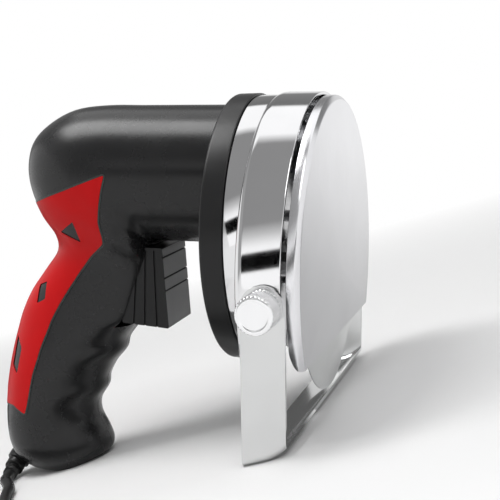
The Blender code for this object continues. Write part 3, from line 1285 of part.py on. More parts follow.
def build_plug(end, heading, dark, brass):
    """Two-pin plug: a moulded body with a flexible nose, and two round pins."""
    length = PLUG_LENGTH
    bm = bmesh.new()
    spin_profile(bm, [(x * length, r * PLUG_RADIUS) for x, r in PLUG_shares], ROUND_MEDIUM)
    turn = heading.to_track_quat("X", "Z")
    body = add_object("plug_body", bm, dark, None)
    body.rotation_mode = "QUATERNION"
    body.rotation_quaternion = turn
    place(body, *end)
    cut = bmesh.new()
    for side in (-1, 1):
        y = side * PIN_SPREAD
        rod(cut, (length - 2 * PIN_RADIUS, y, 0.0), (length + CUT_OVERRUN, y, 0.0),
            PIN_RADIUS + SEAT_GAP, ROUND_TINY)
    sockets = as_cutter(add_object("pin_sockets", cut, None, None))
    sockets.rotation_mode = "QUATERNION"
    sockets.rotation_quaternion = turn
    place(sockets, *end)
    boolean(body, sockets)
    for name, side in (("plug_pin_left", 1), ("plug_pin_right", -1)):
        bm = bmesh.new()
        r = PIN_RADIUS
        spin_profile(bm, [(length - 2 * r + SEAT_GAP, r), (length + PIN_LENGTH - r, r),
                          (length + PIN_LENGTH, r / 2)], ROUND_TINY)
        pin = add_object(name, bm, brass, None)
        pin.rotation_mode = "QUATERNION"
        pin.rotation_quaternion = turn
        place(pin, *(end + turn @ Vector((0.0, side * PIN_SPREAD, 0.0))))


def build_tie(rubber):
    """Strap that holds the coil together, as a closed band round its loops."""
    spread = coil_spread()
    inner = COIL_MEAN_RADIUS - spread / 2 - CORD_RADIUS - SEAT_GAP
    outer = COIL_MEAN_RADIUS + spread / 2 + CORD_RADIUS + SEAT_GAP
    low, high = 0.0, 2 * CORD_RADIUS + COIL_LAYER_RISE + 2 * SEAT_GAP
    t = TIE_THICKNESS
    bm = bmesh.new()
    box(bm, (inner - t, -TIE_WIDTH / 2, low), (outer + t, TIE_WIDTH / 2, high + t))
    tie = add_object("cord_tie", bm, rubber, None)
    bm = bmesh.new()
    box(bm, (inner, -TIE_WIDTH, low - t), (outer, TIE_WIDTH, high))
    hollow = as_cutter(add_object("tie_hollow", bm, None, None))
    boolean(tie, hollow)
    for obj in (tie, hollow):
        obj.rotation_euler = (0.0, 0.0, -math.pi / 2)
        place(obj, COIL_CENTRE[0], COIL_CENTRE[1], 0.0)


def stance_empty():
    """Empty that tilts the tool nose down, with its extent centred on x = 0."""
    tilt = math.radians(STANCE_TILT_DEG)
    front = (GUARD_RADIUS - GUARD_CHAMFER) * math.sin(tilt)
    rows = smooth_rows(housing_rows(), ROW_STEPS)
    rear = min(row[2] * math.cos(tilt) + row[3] * math.sin(tilt) for row in rows)
    empty = bpy.data.objects.new("stance", None)
    bpy.context.collection.objects.link(empty)
    empty.rotation_euler = (0.0, tilt, 0.0)
    empty.location = (-(front + rear) / 2, 0.0, GROUND_DROP * math.cos(tilt))
    return empty


def axis_empty(name, parent, x=0.0, y=0.0, z=0.0):
    """Empty on a joint's axis, which carries the pieces that move about it."""
    empty = bpy.data.objects.new(name, None)
    bpy.context.collection.objects.link(empty)
    empty.parent = parent
    empty.location = (x, y, z)
    return empty


def main():
    clear_scene()
    plastic = material("black_plastic", (0.018, 0.018, 0.019), 0.38)
    dark = material("dark_grey_plastic", (0.09, 0.09, 0.092), 0.5)
    red = material("red_grip", (0.62, 0.018, 0.022), 0.42)
    steel = material("polished_steel", (0.72, 0.72, 0.73), 0.14, 1.0)
    satin = material("satin_steel", (0.62, 0.62, 0.63), 0.36, 1.0)
    nylon = material("white_nylon", (0.78, 0.77, 0.72), 0.5)
    rubber = material("black_rubber", (0.02, 0.02, 0.02), 0.45)
    brass = material("pin_brass", (0.75, 0.6, 0.32), 0.3, 1.0)
    stance = stance_empty()
    blade_axis = axis_empty("blade_axis", stance)
    motor_axis = axis_empty("motor_axis", stance, 0.0, 0.0, MOTOR_Z)
    near_axis = axis_empty("near_knob_axis", stance, BRACKET_MID_X, 0.0, -KNOB_DROP)
    far_axis = axis_empty("far_knob_axis", stance, BRACKET_MID_X, 0.0, -KNOB_DROP)
    build_housing(stance, plastic)
    build_insert(stance, red)
    build_gear_case(stance, plastic)
    drum, chord = build_drum(stance, steel)
    boolean(drum, chord)
    build_guard(stance, satin, chord)
    build_blade(blade_axis, satin)
    build_gears(blade_axis, motor_axis, satin, nylon)
    build_bearings(stance, satin)
    build_motor(stance, motor_axis, satin, dark, brass)
    build_trigger(stance, dark)
    build_trigger_pin(stance, satin)
    build_switch(stance, dark)
    build_screws(stance, satin)
    build_bracket(stance, satin)
    build_studs(stance, satin)
    build_knob("knob_near", -1, near_axis, steel)
    build_knob("knob_far", 1, far_axis, steel)
    bpy.context.view_layer.update()
    build_cord(stance.matrix_world.copy(), rubber, dark, brass)
    bpy.context.view_layer.update()


main()
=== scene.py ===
# %% [markdown]
# # An electric kebab slicer, dressed for its picture
#
# The tool is a motor in a pistol-grip handle. It turns a round blade that runs behind a flat steel
# guard, and a U-shaped bracket with two thumb nuts sets how thick a slice may be. The solids of every
# part come packed in a frame. This lesson keeps them where they are and gives each one its visible
# surface, material and light. The frame is loaded first, because every size below is measured from it.

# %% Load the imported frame
import json
import math

import bpy
import numpy as np
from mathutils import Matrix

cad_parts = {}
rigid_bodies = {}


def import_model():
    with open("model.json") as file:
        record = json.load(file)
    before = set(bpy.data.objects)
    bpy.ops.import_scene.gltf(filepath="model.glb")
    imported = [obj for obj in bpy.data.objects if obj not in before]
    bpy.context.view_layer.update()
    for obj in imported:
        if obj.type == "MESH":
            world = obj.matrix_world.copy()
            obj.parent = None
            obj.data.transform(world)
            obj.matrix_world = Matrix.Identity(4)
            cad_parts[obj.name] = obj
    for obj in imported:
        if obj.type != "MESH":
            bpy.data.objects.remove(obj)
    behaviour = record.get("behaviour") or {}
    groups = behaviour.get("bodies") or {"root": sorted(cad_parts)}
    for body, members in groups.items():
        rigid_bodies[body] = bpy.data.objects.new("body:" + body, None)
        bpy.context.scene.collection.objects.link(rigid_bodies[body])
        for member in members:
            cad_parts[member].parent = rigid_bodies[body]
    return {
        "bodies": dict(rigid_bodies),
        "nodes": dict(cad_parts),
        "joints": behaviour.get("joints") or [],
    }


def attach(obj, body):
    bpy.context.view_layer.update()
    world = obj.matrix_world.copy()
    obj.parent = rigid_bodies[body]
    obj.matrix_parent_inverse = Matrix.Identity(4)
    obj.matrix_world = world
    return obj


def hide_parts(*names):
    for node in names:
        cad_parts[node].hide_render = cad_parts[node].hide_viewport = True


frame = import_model()
nodes = frame["nodes"]
framed = set(nodes.values()) | set(frame["bodies"].values())
for leftover in [obj for obj in bpy.data.objects if obj not in framed]:
    bpy.data.objects.remove(leftover, do_unlink=True)
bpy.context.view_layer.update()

# %% [markdown]
# ## The tool's own axes
#
# The tool leans nose down on the table, so the world's axes are awkward to model in. Every piece is
# described in the tool's own axes instead: X runs along the blade's axle towards the blade, Z up the
# drum and Y across. The axle's direction comes from the blade's joint, and the origin is where the
# axle meets the plane of the guard's face.

# %% Axes and origin, measured from the frame
blade_joint = next(joint for joint in frame["joints"] if joint["name"] == "blade_spin")
AXLE = np.array(blade_joint["axis"], float)
AXLE /= np.linalg.norm(AXLE)
ACROSS = np.array([0.0, 1.0, 0.0])
UPRIGHT = np.cross(AXLE, ACROSS)
TOOL_AXES = np.stack([AXLE, ACROSS, UPRIGHT])
joint_point = np.array(blade_joint["pos_m"], float)
guard_points = np.array([v.co for v in nodes["front_guard"].data.vertices], float)
FACE_DISTANCE = (guard_points @ AXLE).max() - joint_point @ AXLE
ORIGIN = joint_point + AXLE * FACE_DISTANCE
LEAN = math.atan2(-AXLE[2], AXLE[0])


def in_frame(points):
    """Tool point (x, y, z) to frame: origin plus x along the axle, y across and z upright."""
    return ORIGIN + np.asarray(points, float) @ TOOL_AXES


print("leans", round(math.degrees(LEAN), 2), "degrees; guard face at", ORIGIN.round(4))

# %% [markdown]
# ## The camera
#
# The picture was taken from the tool's side and a little from the front. The camera is placed by its
# turn and height round the guard, in the tool's axes, and its lens follows from the focal length
# counted in picture widths. It comes before the shapes.

# %% Camera at the photograph's view
VIEW_TURN = math.radians(16.68)
VIEW_RISE = math.radians(9.68)
VIEW_ROLL = math.radians(-0.94)
VIEW_DISTANCE = 0.4885
VIEW_RIGHT_OF_ORIGIN = -0.0397
VIEW_ABOVE_ORIGIN = 0.0057
FOCAL_WIDTHS = 2.2
SENSOR = 36.0
NEAR_CLIP = 0.01
FAR_CLIP = 50.0

back = np.array([math.sin(VIEW_TURN) * math.cos(VIEW_RISE),
                 -math.cos(VIEW_TURN) * math.cos(VIEW_RISE), math.sin(VIEW_RISE)])
level = np.array([math.cos(VIEW_TURN), math.sin(VIEW_TURN), 0.0])
raised = np.cross(back, level)
right = math.cos(VIEW_ROLL) * level + math.sin(VIEW_ROLL) * raised
up = -math.sin(VIEW_ROLL) * level + math.cos(VIEW_ROLL) * raised
eye = in_frame(right * VIEW_RIGHT_OF_ORIGIN + up * VIEW_ABOVE_ORIGIN + back * VIEW_DISTANCE)
camera_data = bpy.data.cameras.new("photo_camera")
camera_data.lens = FOCAL_WIDTHS * SENSOR
camera_data.sensor_width = SENSOR
camera_data.clip_start = NEAR_CLIP
camera_data.clip_end = FAR_CLIP
camera = bpy.data.objects.new("photo_camera", camera_data)
bpy.context.collection.objects.link(camera)
placed = np.eye(4)
placed[:3, :3] = np.stack([right @ TOOL_AXES, up @ TOOL_AXES, back @ TOOL_AXES], axis=1)
placed[:3, 3] = eye
camera.matrix_world = placed.T.tolist()
bpy.context.scene.camera = camera
print("camera at", eye.round(3), "lens", round(camera_data.lens, 1), "mm")

# %% [markdown]
# ## Surfaces from arrays
#
# Nearly every piece here is a grid of points: one direction runs along a profile or a path, the other
# round it. Numpy works the whole grid out at once, and the grid's index table, shifted by one in each
# direction, gives the faces. A closed form also says which way its faces point: if the volume that
# they enclose comes out negative, the grid is wound inside out and its faces are turned over.

# %% Grids of points to meshes
SHARP = math.radians(32.0)


def grid_of(x, y, z):
    """Stretches three arrays to one (rows, columns) shape and joins them to points."""
    return np.stack(np.broadcast_arrays(x, y, z), axis=-1)


def grid_faces(rows, columns, wrap_rows, wrap_columns):
    """Quads of a grid: the index table beside copies of itself, shifted one row and one column."""
    table = np.arange(rows * columns).reshape(rows, columns)
    if wrap_columns:
        table = np.concatenate([table, table[:, :1]], axis=1)
    if wrap_rows:
        table = np.concatenate([table, table[:1]], axis=0)
    corners = table[:-1, :-1], table[:-1, 1:], table[1:, 1:], table[1:, :-1]
    return np.stack(corners, axis=-1).reshape(-1, 4)


def enclosed_volume(points, quads):
    """Signed volume: a sixth of the sum of a . (b x c) over the two triangles of every quad."""
    a, b, c, d = (points[quads[:, k]] for k in range(4))
    halves = np.einsum("ij,ij->i", a, np.cross(b, c)), np.einsum("ij,ij->i", a, np.cross(c, d))
    return (halves[0] + halves[1]).sum() / 6


def surface(name, grid, finish, body="base", wrap_rows=False, folded=False, sharp=SHARP):
    """Closed mesh from a (rows, columns, 3) grid whose columns go once round the piece.

    The first and last rows close with a fan to their middle point; a fan's triangle is written as a quad
    that has its last corner twice, so one sum gives the volume. A folded outline, which comes back beside
    itself, closes with rungs instead: point k is joined to the point that lies k from the end.
    """
    grid = np.asarray(grid, float)
    rows, columns = grid.shape[:2]
    points = grid.reshape(-1, 3)
    quads = grid_faces(rows, columns, wrap_rows, True)
    if folded:
        rung = np.arange(columns // 2 - 1)
        ladder = np.stack([rung + 1, rung, columns - 1 - rung, columns - 2 - rung], axis=1)
        quads = np.concatenate([quads, ladder, (rows - 1) * columns + ladder[:, ::-1]])
    if not wrap_rows and not folded:
        points = np.concatenate([points, grid[:1].mean(axis=1), grid[-1:].mean(axis=1)])
        ring = np.arange(columns)
        after = np.roll(ring, -1)
        first = np.stack([np.full(columns, rows * columns), after, ring, ring], axis=1)
        last_row = (rows - 1) * columns
        last = np.stack([np.full(columns, rows * columns + 1), last_row + ring, last_row + after,
                         last_row + after], axis=1)
        fans = np.concatenate([first, last])
    else:
        fans = np.zeros((0, 4), int)
    if enclosed_volume(points - points.mean(axis=0), np.concatenate([quads, fans])) < 0:
        quads = quads[:, ::-1]
        fans = fans[:, [0, 2, 1, 1]]
    mesh = bpy.data.meshes.new(name)
    mesh.from_pydata(points.tolist(), [], quads.tolist() + fans[:, :3].tolist())
    mesh.shade_smooth()
    mesh.set_sharp_from_angle(angle=sharp)
    obj = bpy.data.objects.new(name, mesh)
    bpy.context.collection.objects.link(obj)
    if finish is not None:
        mesh.materials.append(finish)
    if body is not None:
        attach(obj, body)
    return obj


# %% [markdown]
# ## Paths and tubes
#
# A cord is a round profile carried along a path. The path is a short list of places, joined by a
# smooth cubic and then cut into even steps. Two directions square to the path carry the profile: one
# level, found by crossing the heading with straight up, and one square to both.

# %% Smooth paths and the tubes along them
PATH_FILL = 24


def cubic_rows(knots, fill):
    """Catmull-Rom curve: each stretch is b + t(c-a)/2 + t^2(2a-5b+4c-d)/2 + t^3(3b-a-3c+d)/2."""
    a = np.concatenate([knots[:1], knots[:-2]])[:, None]
    b, c = knots[:-1][:, None], knots[1:][:, None]
    d = np.concatenate([knots[2:], knots[-1:]])[:, None]
    t = (np.arange(fill) / fill)[None, :, None]
    bow = t * t * (2 * a - 5 * b + 4 * c - d) / 2
    curve = b + t * (c - a) / 2 + bow + t ** 3 * (3 * b - a - 3 * c + d) / 2
    return np.concatenate([curve.reshape(-1, knots.shape[1]), knots[-1:]])


def even_steps(curve, spacing):
    """The same curve with its points an even distance apart, by interpolating on its running length."""
    run = np.concatenate([[0.0], np.cumsum(np.linalg.norm(np.diff(curve, axis=0), axis=1))])
    marks = np.linspace(0.0, run[-1], max(int(round(run[-1] / spacing)), 2) + 1)
    return np.stack([np.interp(marks, run, curve[:, k]) for k in range(curve.shape[1])], axis=1)


def path_length(path):
    """Sum of the straight distances from each point to the next."""
    return float(np.linalg.norm(np.diff(path, axis=0), axis=1).sum())


def tube(path, radii, sides=16):
    """Grid round a path: centre + radius (cos a * level + sin a * square), at each of its points."""
    heading = np.gradient(path, axis=0)
    heading /= np.linalg.norm(heading, axis=1, keepdims=True)
    sideways = np.cross(heading, (0.0, 0.0, 1.0))
    sideways /= np.linalg.norm(sideways, axis=1, keepdims=True)
    square = np.cross(sideways, heading)
    angle = np.linspace(0.0, math.tau, sides, endpoint=False)
    radii = np.broadcast_to(np.asarray(radii, float), (len(path),))[:, None, None]
    around = np.cos(angle)[:, None] * sideways[:, None] + np.sin(angle)[:, None] * square[:, None]
    return path[:, None] + radii * around


# %% [markdown]
# ## The mains cord
#
# A mains lead leaves the heel of the grip, drops on to the table and runs off behind the tool. Most of
# its length is put away as a tied coil, outside the picture, and its last stretch ends in a plug. The
# route repeats the one that the solids follow, so the visible cord lies exactly where they are.

# %% Places of the handle, boot, coil and plug
BARREL_RADIUS = 0.031
MOTOR_Z = 0.039
CROOK_X = -0.0840
CROOK_Z = MOTOR_Z - BARREL_RADIUS
HANDLE_REACH = 0.083
HANDLE_DROP = 0.1145
HOUSING_WALL = 0.0025
SEAT_GAP = 0.0003
CORD_RADIUS = 0.0027
BOOT_BEND_LENGTH = 0.014
BOOT_COLLAR_LENGTH = 0.0015
BOOT_EXIT_shares = (0.928, -0.955)
BOOT_HEADING = (-0.62, -0.45, -0.64)
BOOT_END_HEADING = (0.30, -0.95, -0.04)
CORD_ROUTE = [
    (-0.0925, -0.0360, 0.0028), (-0.0866, -0.0490, 0.0027), (-0.0800, -0.0620, 0.0027),
    (-0.0728, -0.0745, 0.0027), (-0.0652, -0.0870, 0.0027), (-0.0576, -0.0995, 0.0027),
    (-0.0505, -0.1125, 0.0027), (-0.0445, -0.1260, 0.0027), (-0.0396, -0.1400, 0.0027),
    (-0.0361, -0.1550, 0.0027), (-0.0338, -0.1710, 0.0027), (-0.0325, -0.1870, 0.0028),
]
COIL_CENTRE = np.array([-0.0750, -0.2050])
COIL_MEAN_RADIUS = 0.0324
COIL_PITCH = 0.0061
COIL_LAYER_RISE = 0.0062
COIL_LOOPS = 7
COIL_LAYERS = 2
COIL_POINTS_PER_LOOP = 24
PLUG_ROUTE = [
    (-0.0312, -0.2270, 0.0076), (-0.0278, -0.2382, 0.0052), (-0.0205, -0.2470, 0.0036),
    (-0.0095, -0.2522, 0.0028), (0.0040, -0.2538, 0.0028), (0.0180, -0.2538, 0.0028),
    (0.0320, -0.2537, 0.0028), (0.0460, -0.2533, 0.0028), (0.0594, -0.2500, 0.0032),
    (0.0677, -0.2420, 0.0046), (0.0708, -0.2308, 0.0070), (0.0677, -0.2195, 0.0102),
    (0.0594, -0.2115, 0.0138),
]
PLUG_RADIUS = 0.0175
PLUG_END = np.array([0.0370, -0.2080, PLUG_RADIUS + SEAT_GAP])
PLUG_HEADING = np.array([-1.0, 0.0, 0.0])


def unit(vector):
    """The vector divided by its length."""
    vector = np.asarray(vector, float)
    return vector / np.linalg.norm(vector)


def side_point(across_share, height_share):
    """Point (x, z) of the handle's side view: shares of its reach behind the crook and of its height."""
    height = 2 * BARREL_RADIUS if height_share > 0 else HANDLE_DROP
    return CROOK_X - across_share * HANDLE_REACH, CROOK_Z + height_share * height


exit_x, exit_z = side_point(*BOOT_EXIT_shares)
boot_root = in_frame((exit_x, 0.0, exit_z))
print("boot leaves the heel at", boot_root.round(4))

# %% The bend of the boot, where the cord starts
BOOT_STEPS = 9


def bend(start, first, last, length, steps):
    """Even bend: each step heads along first sin((1-t)A) + last sin(tA), with A the angle between them."""
    turn = math.acos(float(first @ last))
    t = ((np.arange(steps) + 0.5) / steps)[:, None]
    heading = first * np.sin((1 - t) * turn) + last * np.sin(t * turn)
    heading /= np.linalg.norm(heading, axis=1, keepdims=True)
    return np.concatenate([[start], start + np.cumsum(heading * length / steps, axis=0)])


boot_heading = unit(BOOT_HEADING)
boot_final = unit(BOOT_END_HEADING)
boot_bend = bend(boot_root + boot_heading * BOOT_COLLAR_LENGTH, boot_heading, boot_final,
                 BOOT_BEND_LENGTH, BOOT_STEPS)
boot_tip = boot_bend[-1] + boot_final * BOOT_COLLAR_LENGTH
cord_exit = boot_tip + boot_final * SEAT_GAP
print("cord starts at", cord_exit.round(4), "heading", boot_final.round(3))

# %% The coil: two layers of a flat spiral
turns = np.arange(COIL_LOOPS * COIL_POINTS_PER_LOOP + 1)
half_way = len(turns) // 2
spread = COIL_PITCH * COIL_LOOPS / COIL_LAYERS
share_in = np.minimum(turns, turns[-1] - turns) / half_way
coil_radius = COIL_MEAN_RADIUS + spread / 2 - spread * share_in
climb = COIL_POINTS_PER_LOOP // 2
rise = np.clip((turns - half_way + climb / 2) / climb, 0.0, 1.0)
rise = rise * rise * (3 - 2 * rise)
coil_angle = math.tau * turns / COIL_POINTS_PER_LOOP
coil = np.stack([COIL_CENTRE[0] + coil_radius * np.cos(coil_angle),
                 COIL_CENTRE[1] - coil_radius * np.sin(coil_angle),
                 CORD_RADIUS + SEAT_GAP / 3 + COIL_LAYER_RISE * rise], axis=1)
print("coiled length", round(path_length(coil), 3), "m")

# %% The whole route and its tube
CORD_STEP = 0.0032
straight = 2 * CORD_RADIUS
arrive = unit(coil[1] - coil[0])
leave = unit(coil[-1] - coil[-2])
lead_in = [cord_exit + boot_final * straight * k for k in (0, 1, 2)] + [np.array(p) for p in CORD_ROUTE]
lead_in += [coil[0] - arrive * straight * k for k in (2, 1)]
lead_out = [coil[-1] + leave * straight * k for k in (1, 2)] + [np.array(p) for p in PLUG_ROUTE]
lead_out += [PLUG_END - PLUG_HEADING * straight * k for k in (2, 1, 0)]
cord_path = even_steps(cubic_rows(np.concatenate([lead_in, coil, lead_out]), PATH_FILL), CORD_STEP)
cord = surface("cord", tube(cord_path, CORD_RADIUS), None, sharp=math.radians(60.0))
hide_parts("mains_cord", "cord_coil", "plug_lead")

# %% [markdown]
# ## Finishes
#
# The tool has a handful of finishes: spark-eroded black plastic, a satin red shell, polished and
# brushed stainless steel, rubber and the plainer metals inside. Each is one node material. A number
# that is the same everywhere sits on the shader's own socket; a small node chain adds what varies,
# such as the fine grain of moulded plastic or the lines that a brushing belt leaves in steel. The
# patterns read object coordinates, turned to the tool's axes, so they stay put when a part moves.

# %% A small kit for node materials
def new_finish(name, colour, roughness, metallic=0.0, specular=0.5):
    """Material with its even values on the shader's sockets; returns it, its node tree and the shader."""
    finish = bpy.data.materials.new(name)
    finish.use_nodes = True
    tree = finish.node_tree
    shader = tree.nodes["Principled BSDF"]
    shader.inputs["Base Color"].default_value = (*colour, 1.0)
    shader.inputs["Roughness"].default_value = roughness
    shader.inputs["Metallic"].default_value = metallic
    shader.inputs["Specular IOR Level"].default_value = specular
    return finish, tree, shader


def tool_coordinates(tree, scale=(1.0, 1.0, 1.0)):
    """Object coordinates turned by the tool's lean, so that a pattern's X runs along the axle."""
    source = tree.nodes.new("ShaderNodeTexCoord")
    turn = tree.nodes.new("ShaderNodeMapping")
    turn.vector_type = "TEXTURE"
    turn.inputs["Location"].default_value = tuple(ORIGIN)
    turn.inputs["Rotation"].default_value = (0.0, LEAN, 0.0)
    stretch = tree.nodes.new("ShaderNodeMapping")
    stretch.inputs["Scale"].default_value = scale
    tree.links.new(source.outputs["Object"], turn.inputs["Vector"])
    tree.links.new(turn.outputs["Vector"], stretch.inputs["Vector"])
    return stretch.outputs["Vector"]


def noise(tree, vector, scale, detail=3.0, roughness=0.55):
    """Fine random values between 0 and 1 over a surface."""
    node = tree.nodes.new("ShaderNodeTexNoise")
    node.inputs["Scale"].default_value = scale
    node.inputs["Detail"].default_value = detail
    node.inputs["Roughness"].default_value = roughness
    tree.links.new(vector, node.inputs["Vector"])
    return node.outputs["Fac"]


def between(tree, value, low, high, from_low=0.3, from_high=0.7):
    """Carries a value from one range to another."""
    node = tree.nodes.new("ShaderNodeMapRange")
    ranges = {"From Min": from_low, "From Max": from_high, "To Min": low, "To Max": high}
    for socket, number in ranges.items():
        node.inputs[socket].default_value = number
    tree.links.new(value, node.inputs["Value"])
    return node.outputs["Result"]


def mixed(tree, value, first, second):
    """Colour between two, by a value."""
    node = tree.nodes.new("ShaderNodeMix")
    node.data_type = "RGBA"
    node.inputs["A"].default_value = (*first, 1.0)
    node.inputs["B"].default_value = (*second, 1.0)
    tree.links.new(value, node.inputs["Factor"])
    return node.outputs["Result"]


def bump(tree, shader, height, distance, strength=1.0):
    """Raises the surface by a height value times a distance in metres."""
    node = tree.nodes.new("ShaderNodeBump")
    node.inputs["Strength"].default_value = strength
    node.inputs["Distance"].default_value = distance
    tree.links.new(height, node.inputs["Height"])
    tree.links.new(node.outputs["Normal"], shader.inputs["Normal"])


def cloudy_colour(tree, shader, value, first, second):
    """Lets the base colour drift between two, by a noise value."""
    tree.links.new(mixed(tree, between(tree, value, 0.0, 1.0), first, second), shader.inputs["Base Color"])


def uneven_gloss(tree, shader, value, low, high):
    """Lets the roughness drift from low to high, by a noise value."""
    tree.links.new(between(tree, value, low, high), shader.inputs["Roughness"])


# %% Moulded plastics: an even colour, a fine grain and a little variation in gloss
def moulded_plastic(name, colour, darker, roughness, grain=0.000008, grain_scale=1400.0, specular=0.3):
    """Spark-eroded plastic: fine grain in the bump, broad soft changes in colour and gloss."""
    finish, tree, shader = new_finish(name, colour, roughness, specular=specular)
    place = tool_coordinates(tree)
    cloudy_colour(tree, shader, noise(tree, place, scale=22.0, detail=4.0), colour, darker)
    smear = noise(tree, place, scale=60.0, detail=5.0, roughness=0.65)
    uneven_gloss(tree, shader, smear, roughness - 0.035, roughness + 0.045)
    bump(tree, shader, noise(tree, place, grain_scale, detail=2.0), grain)
    return finish


# name, colour, darker colour, roughness
black_plastic = moulded_plastic("black_plastic", (0.0125, 0.0125, 0.0130), (0.0085, 0.0085, 0.0090), 0.26,
                                specular=0.36)
case_plastic = moulded_plastic("case_plastic", (0.0135, 0.0135, 0.0140), (0.0095, 0.0095, 0.0100), 0.34)
red_shell = moulded_plastic("red_grip", (0.62, 0.004, 0.006), (0.54, 0.003, 0.004), 0.36, specular=0.13)
trigger_plastic = moulded_plastic("trigger_plastic", (0.0110, 0.0110, 0.0115),
                                  (0.0080, 0.0080, 0.0085), 0.40)
# The trigger face's grey is partly its own and partly painted light, raised so that the shaded face looks
# lit.
trigger_face = moulded_plastic("trigger_face", (0.330, 0.330, 0.334), (0.290, 0.290, 0.294), 0.50)
dark_grey_plastic = moulded_plastic("dark_grey_plastic", (0.060, 0.060, 0.062), (0.045, 0.045, 0.047), 0.5)
bead_plastic = moulded_plastic("bead_plastic", (0.040, 0.055, 0.052), (0.030, 0.042, 0.040), 0.30)
white_nylon = moulded_plastic("white_nylon", (0.74, 0.73, 0.68), (0.66, 0.64, 0.58), 0.45,
                              grain=0.00001, grain_scale=900.0)
print("materials so far:", len(bpy.data.materials))

# %% Rubber: duller, with longer faint streaks where it was pulled from its mould
def soft_rubber(name, colour, roughness):
    """Rubber: dull, slightly streaked colour and a coarse soft grain."""
    finish, tree, shader = new_finish(name, colour, roughness, specular=0.35)
    place = tool_coordinates(tree)
    streak = noise(tree, place, scale=90.0, detail=4.0)
    paler = tuple(c * 1.6 + 0.004 for c in colour)
    cloudy_colour(tree, shader, streak, colour, paler)
    uneven_gloss(tree, shader, streak, roughness - 0.06, roughness + 0.08)
    bump(tree, shader, noise(tree, place, scale=700.0, detail=2.0), distance=0.00003)
    return finish


black_rubber = soft_rubber("black_rubber", (0.013, 0.013, 0.013), 0.52)
cord_rubber = soft_rubber("cord_rubber", (0.012, 0.012, 0.012), 0.30)

# %% [markdown]
# ## Steel
#
# Stainless steel is hard to tell from a mirror in a render unless its making shows. Polished steel
# keeps hair-fine rings from the buffing wheel, brushed steel has long lines along the belt's run, and
# a ground blade has rings and a brighter bevel. All three are one pattern: noise that is stretched
# many times longer in one direction, which moves the roughness and lifts a very low bump.

# %% Metals
def lined_steel(name, colour, roughness, stretch, swing, height):
    """Steel with lines: noise squeezed along two axes and drawn out along the third."""
    finish, tree, shader = new_finish(name, colour, roughness, metallic=1.0)
    line = noise(tree, tool_coordinates(tree, stretch), scale=1.0, detail=4.0, roughness=0.7)
    cloud = noise(tree, tool_coordinates(tree), scale=30.0, detail=3.0)
    cloudy_colour(tree, shader, cloud, colour, tuple(c * 0.93 for c in colour))
    uneven_gloss(tree, shader, line, roughness - swing, roughness + swing)
    bump(tree, shader, line, height)
    return finish


def ringed_steel(name, colour, roughness, rings, swing, height):
    """Steel with rings round the axle: noise read at (x, distance from the axle) alone."""
    finish, tree, shader = new_finish(name, colour, roughness, metallic=1.0)
    split = tree.nodes.new("ShaderNodeSeparateXYZ")
    flat = tree.nodes.new("ShaderNodeCombineXYZ")
    length = tree.nodes.new("ShaderNodeVectorMath")
    length.operation = "LENGTH"
    polar = tree.nodes.new("ShaderNodeCombineXYZ")
    tree.links.new(tool_coordinates(tree), split.inputs["Vector"])
    tree.links.new(split.outputs["Y"], flat.inputs["Y"])
    tree.links.new(split.outputs["Z"], flat.inputs["Z"])
    tree.links.new(flat.outputs["Vector"], length.inputs[0])
    tree.links.new(length.outputs["Value"], polar.inputs["X"])
    tree.links.new(split.outputs["X"], polar.inputs["Y"])
    line = noise(tree, polar.outputs["Vector"], rings, detail=3.0, roughness=0.7)
    cloud = noise(tree, tool_coordinates(tree), scale=26.0, detail=3.0)
    cloudy_colour(tree, shader, cloud, colour, tuple(c * 0.94 for c in colour))
    uneven_gloss(tree, shader, line, roughness - swing, roughness + swing)
    bump(tree, shader, line, height)
    return finish


# name, colour, roughness, rings a metre, swing of the roughness, height of the rings
polished_steel = ringed_steel("polished_steel", (0.78, 0.78, 0.79), 0.075, 1500.0, 0.02, 6e-7)
satin_steel = ringed_steel("satin_steel", (0.80, 0.80, 0.82), 0.20, 700.0, 0.012, 3e-7)
blade_steel = ringed_steel("blade_steel", (0.78, 0.79, 0.79), 0.24, 2200.0, 0.05, 1e-6)
# name, colour, roughness, lines a metre along the three axes, swing of the roughness, height
bracket_steel = lined_steel("bracket_steel", (0.69, 0.695, 0.695), 0.15, (900.0, 25.0, 25.0), 0.02, 5e-7)
knob_steel = lined_steel("knob_steel", (0.94, 0.94, 0.95), 0.20, (300.0, 300.0, 300.0), 0.03, 1e-6)
plain_steel = lined_steel("plain_steel", (0.56, 0.56, 0.57), 0.32, (60.0, 700.0, 700.0), 0.06, 3e-6)
lamination_steel = lined_steel("lamination_steel", (0.30, 0.30, 0.32), 0.45, (2200.0, 8.0, 8.0), 0.08, 3e-5)
copper_winding = lined_steel("copper_winding", (0.62, 0.27, 0.13), 0.38, (30.0, 900.0, 900.0), 0.08, 4e-5)
pin_brass = lined_steel("pin_brass", (0.78, 0.66, 0.42), 0.24, (500.0, 500.0, 40.0), 0.05, 3e-6)
brush_carbon = moulded_plastic("brush_carbon", (0.030, 0.030, 0.032), (0.018, 0.018, 0.019), 0.62)
print("materials so far:", len(bpy.data.materials))
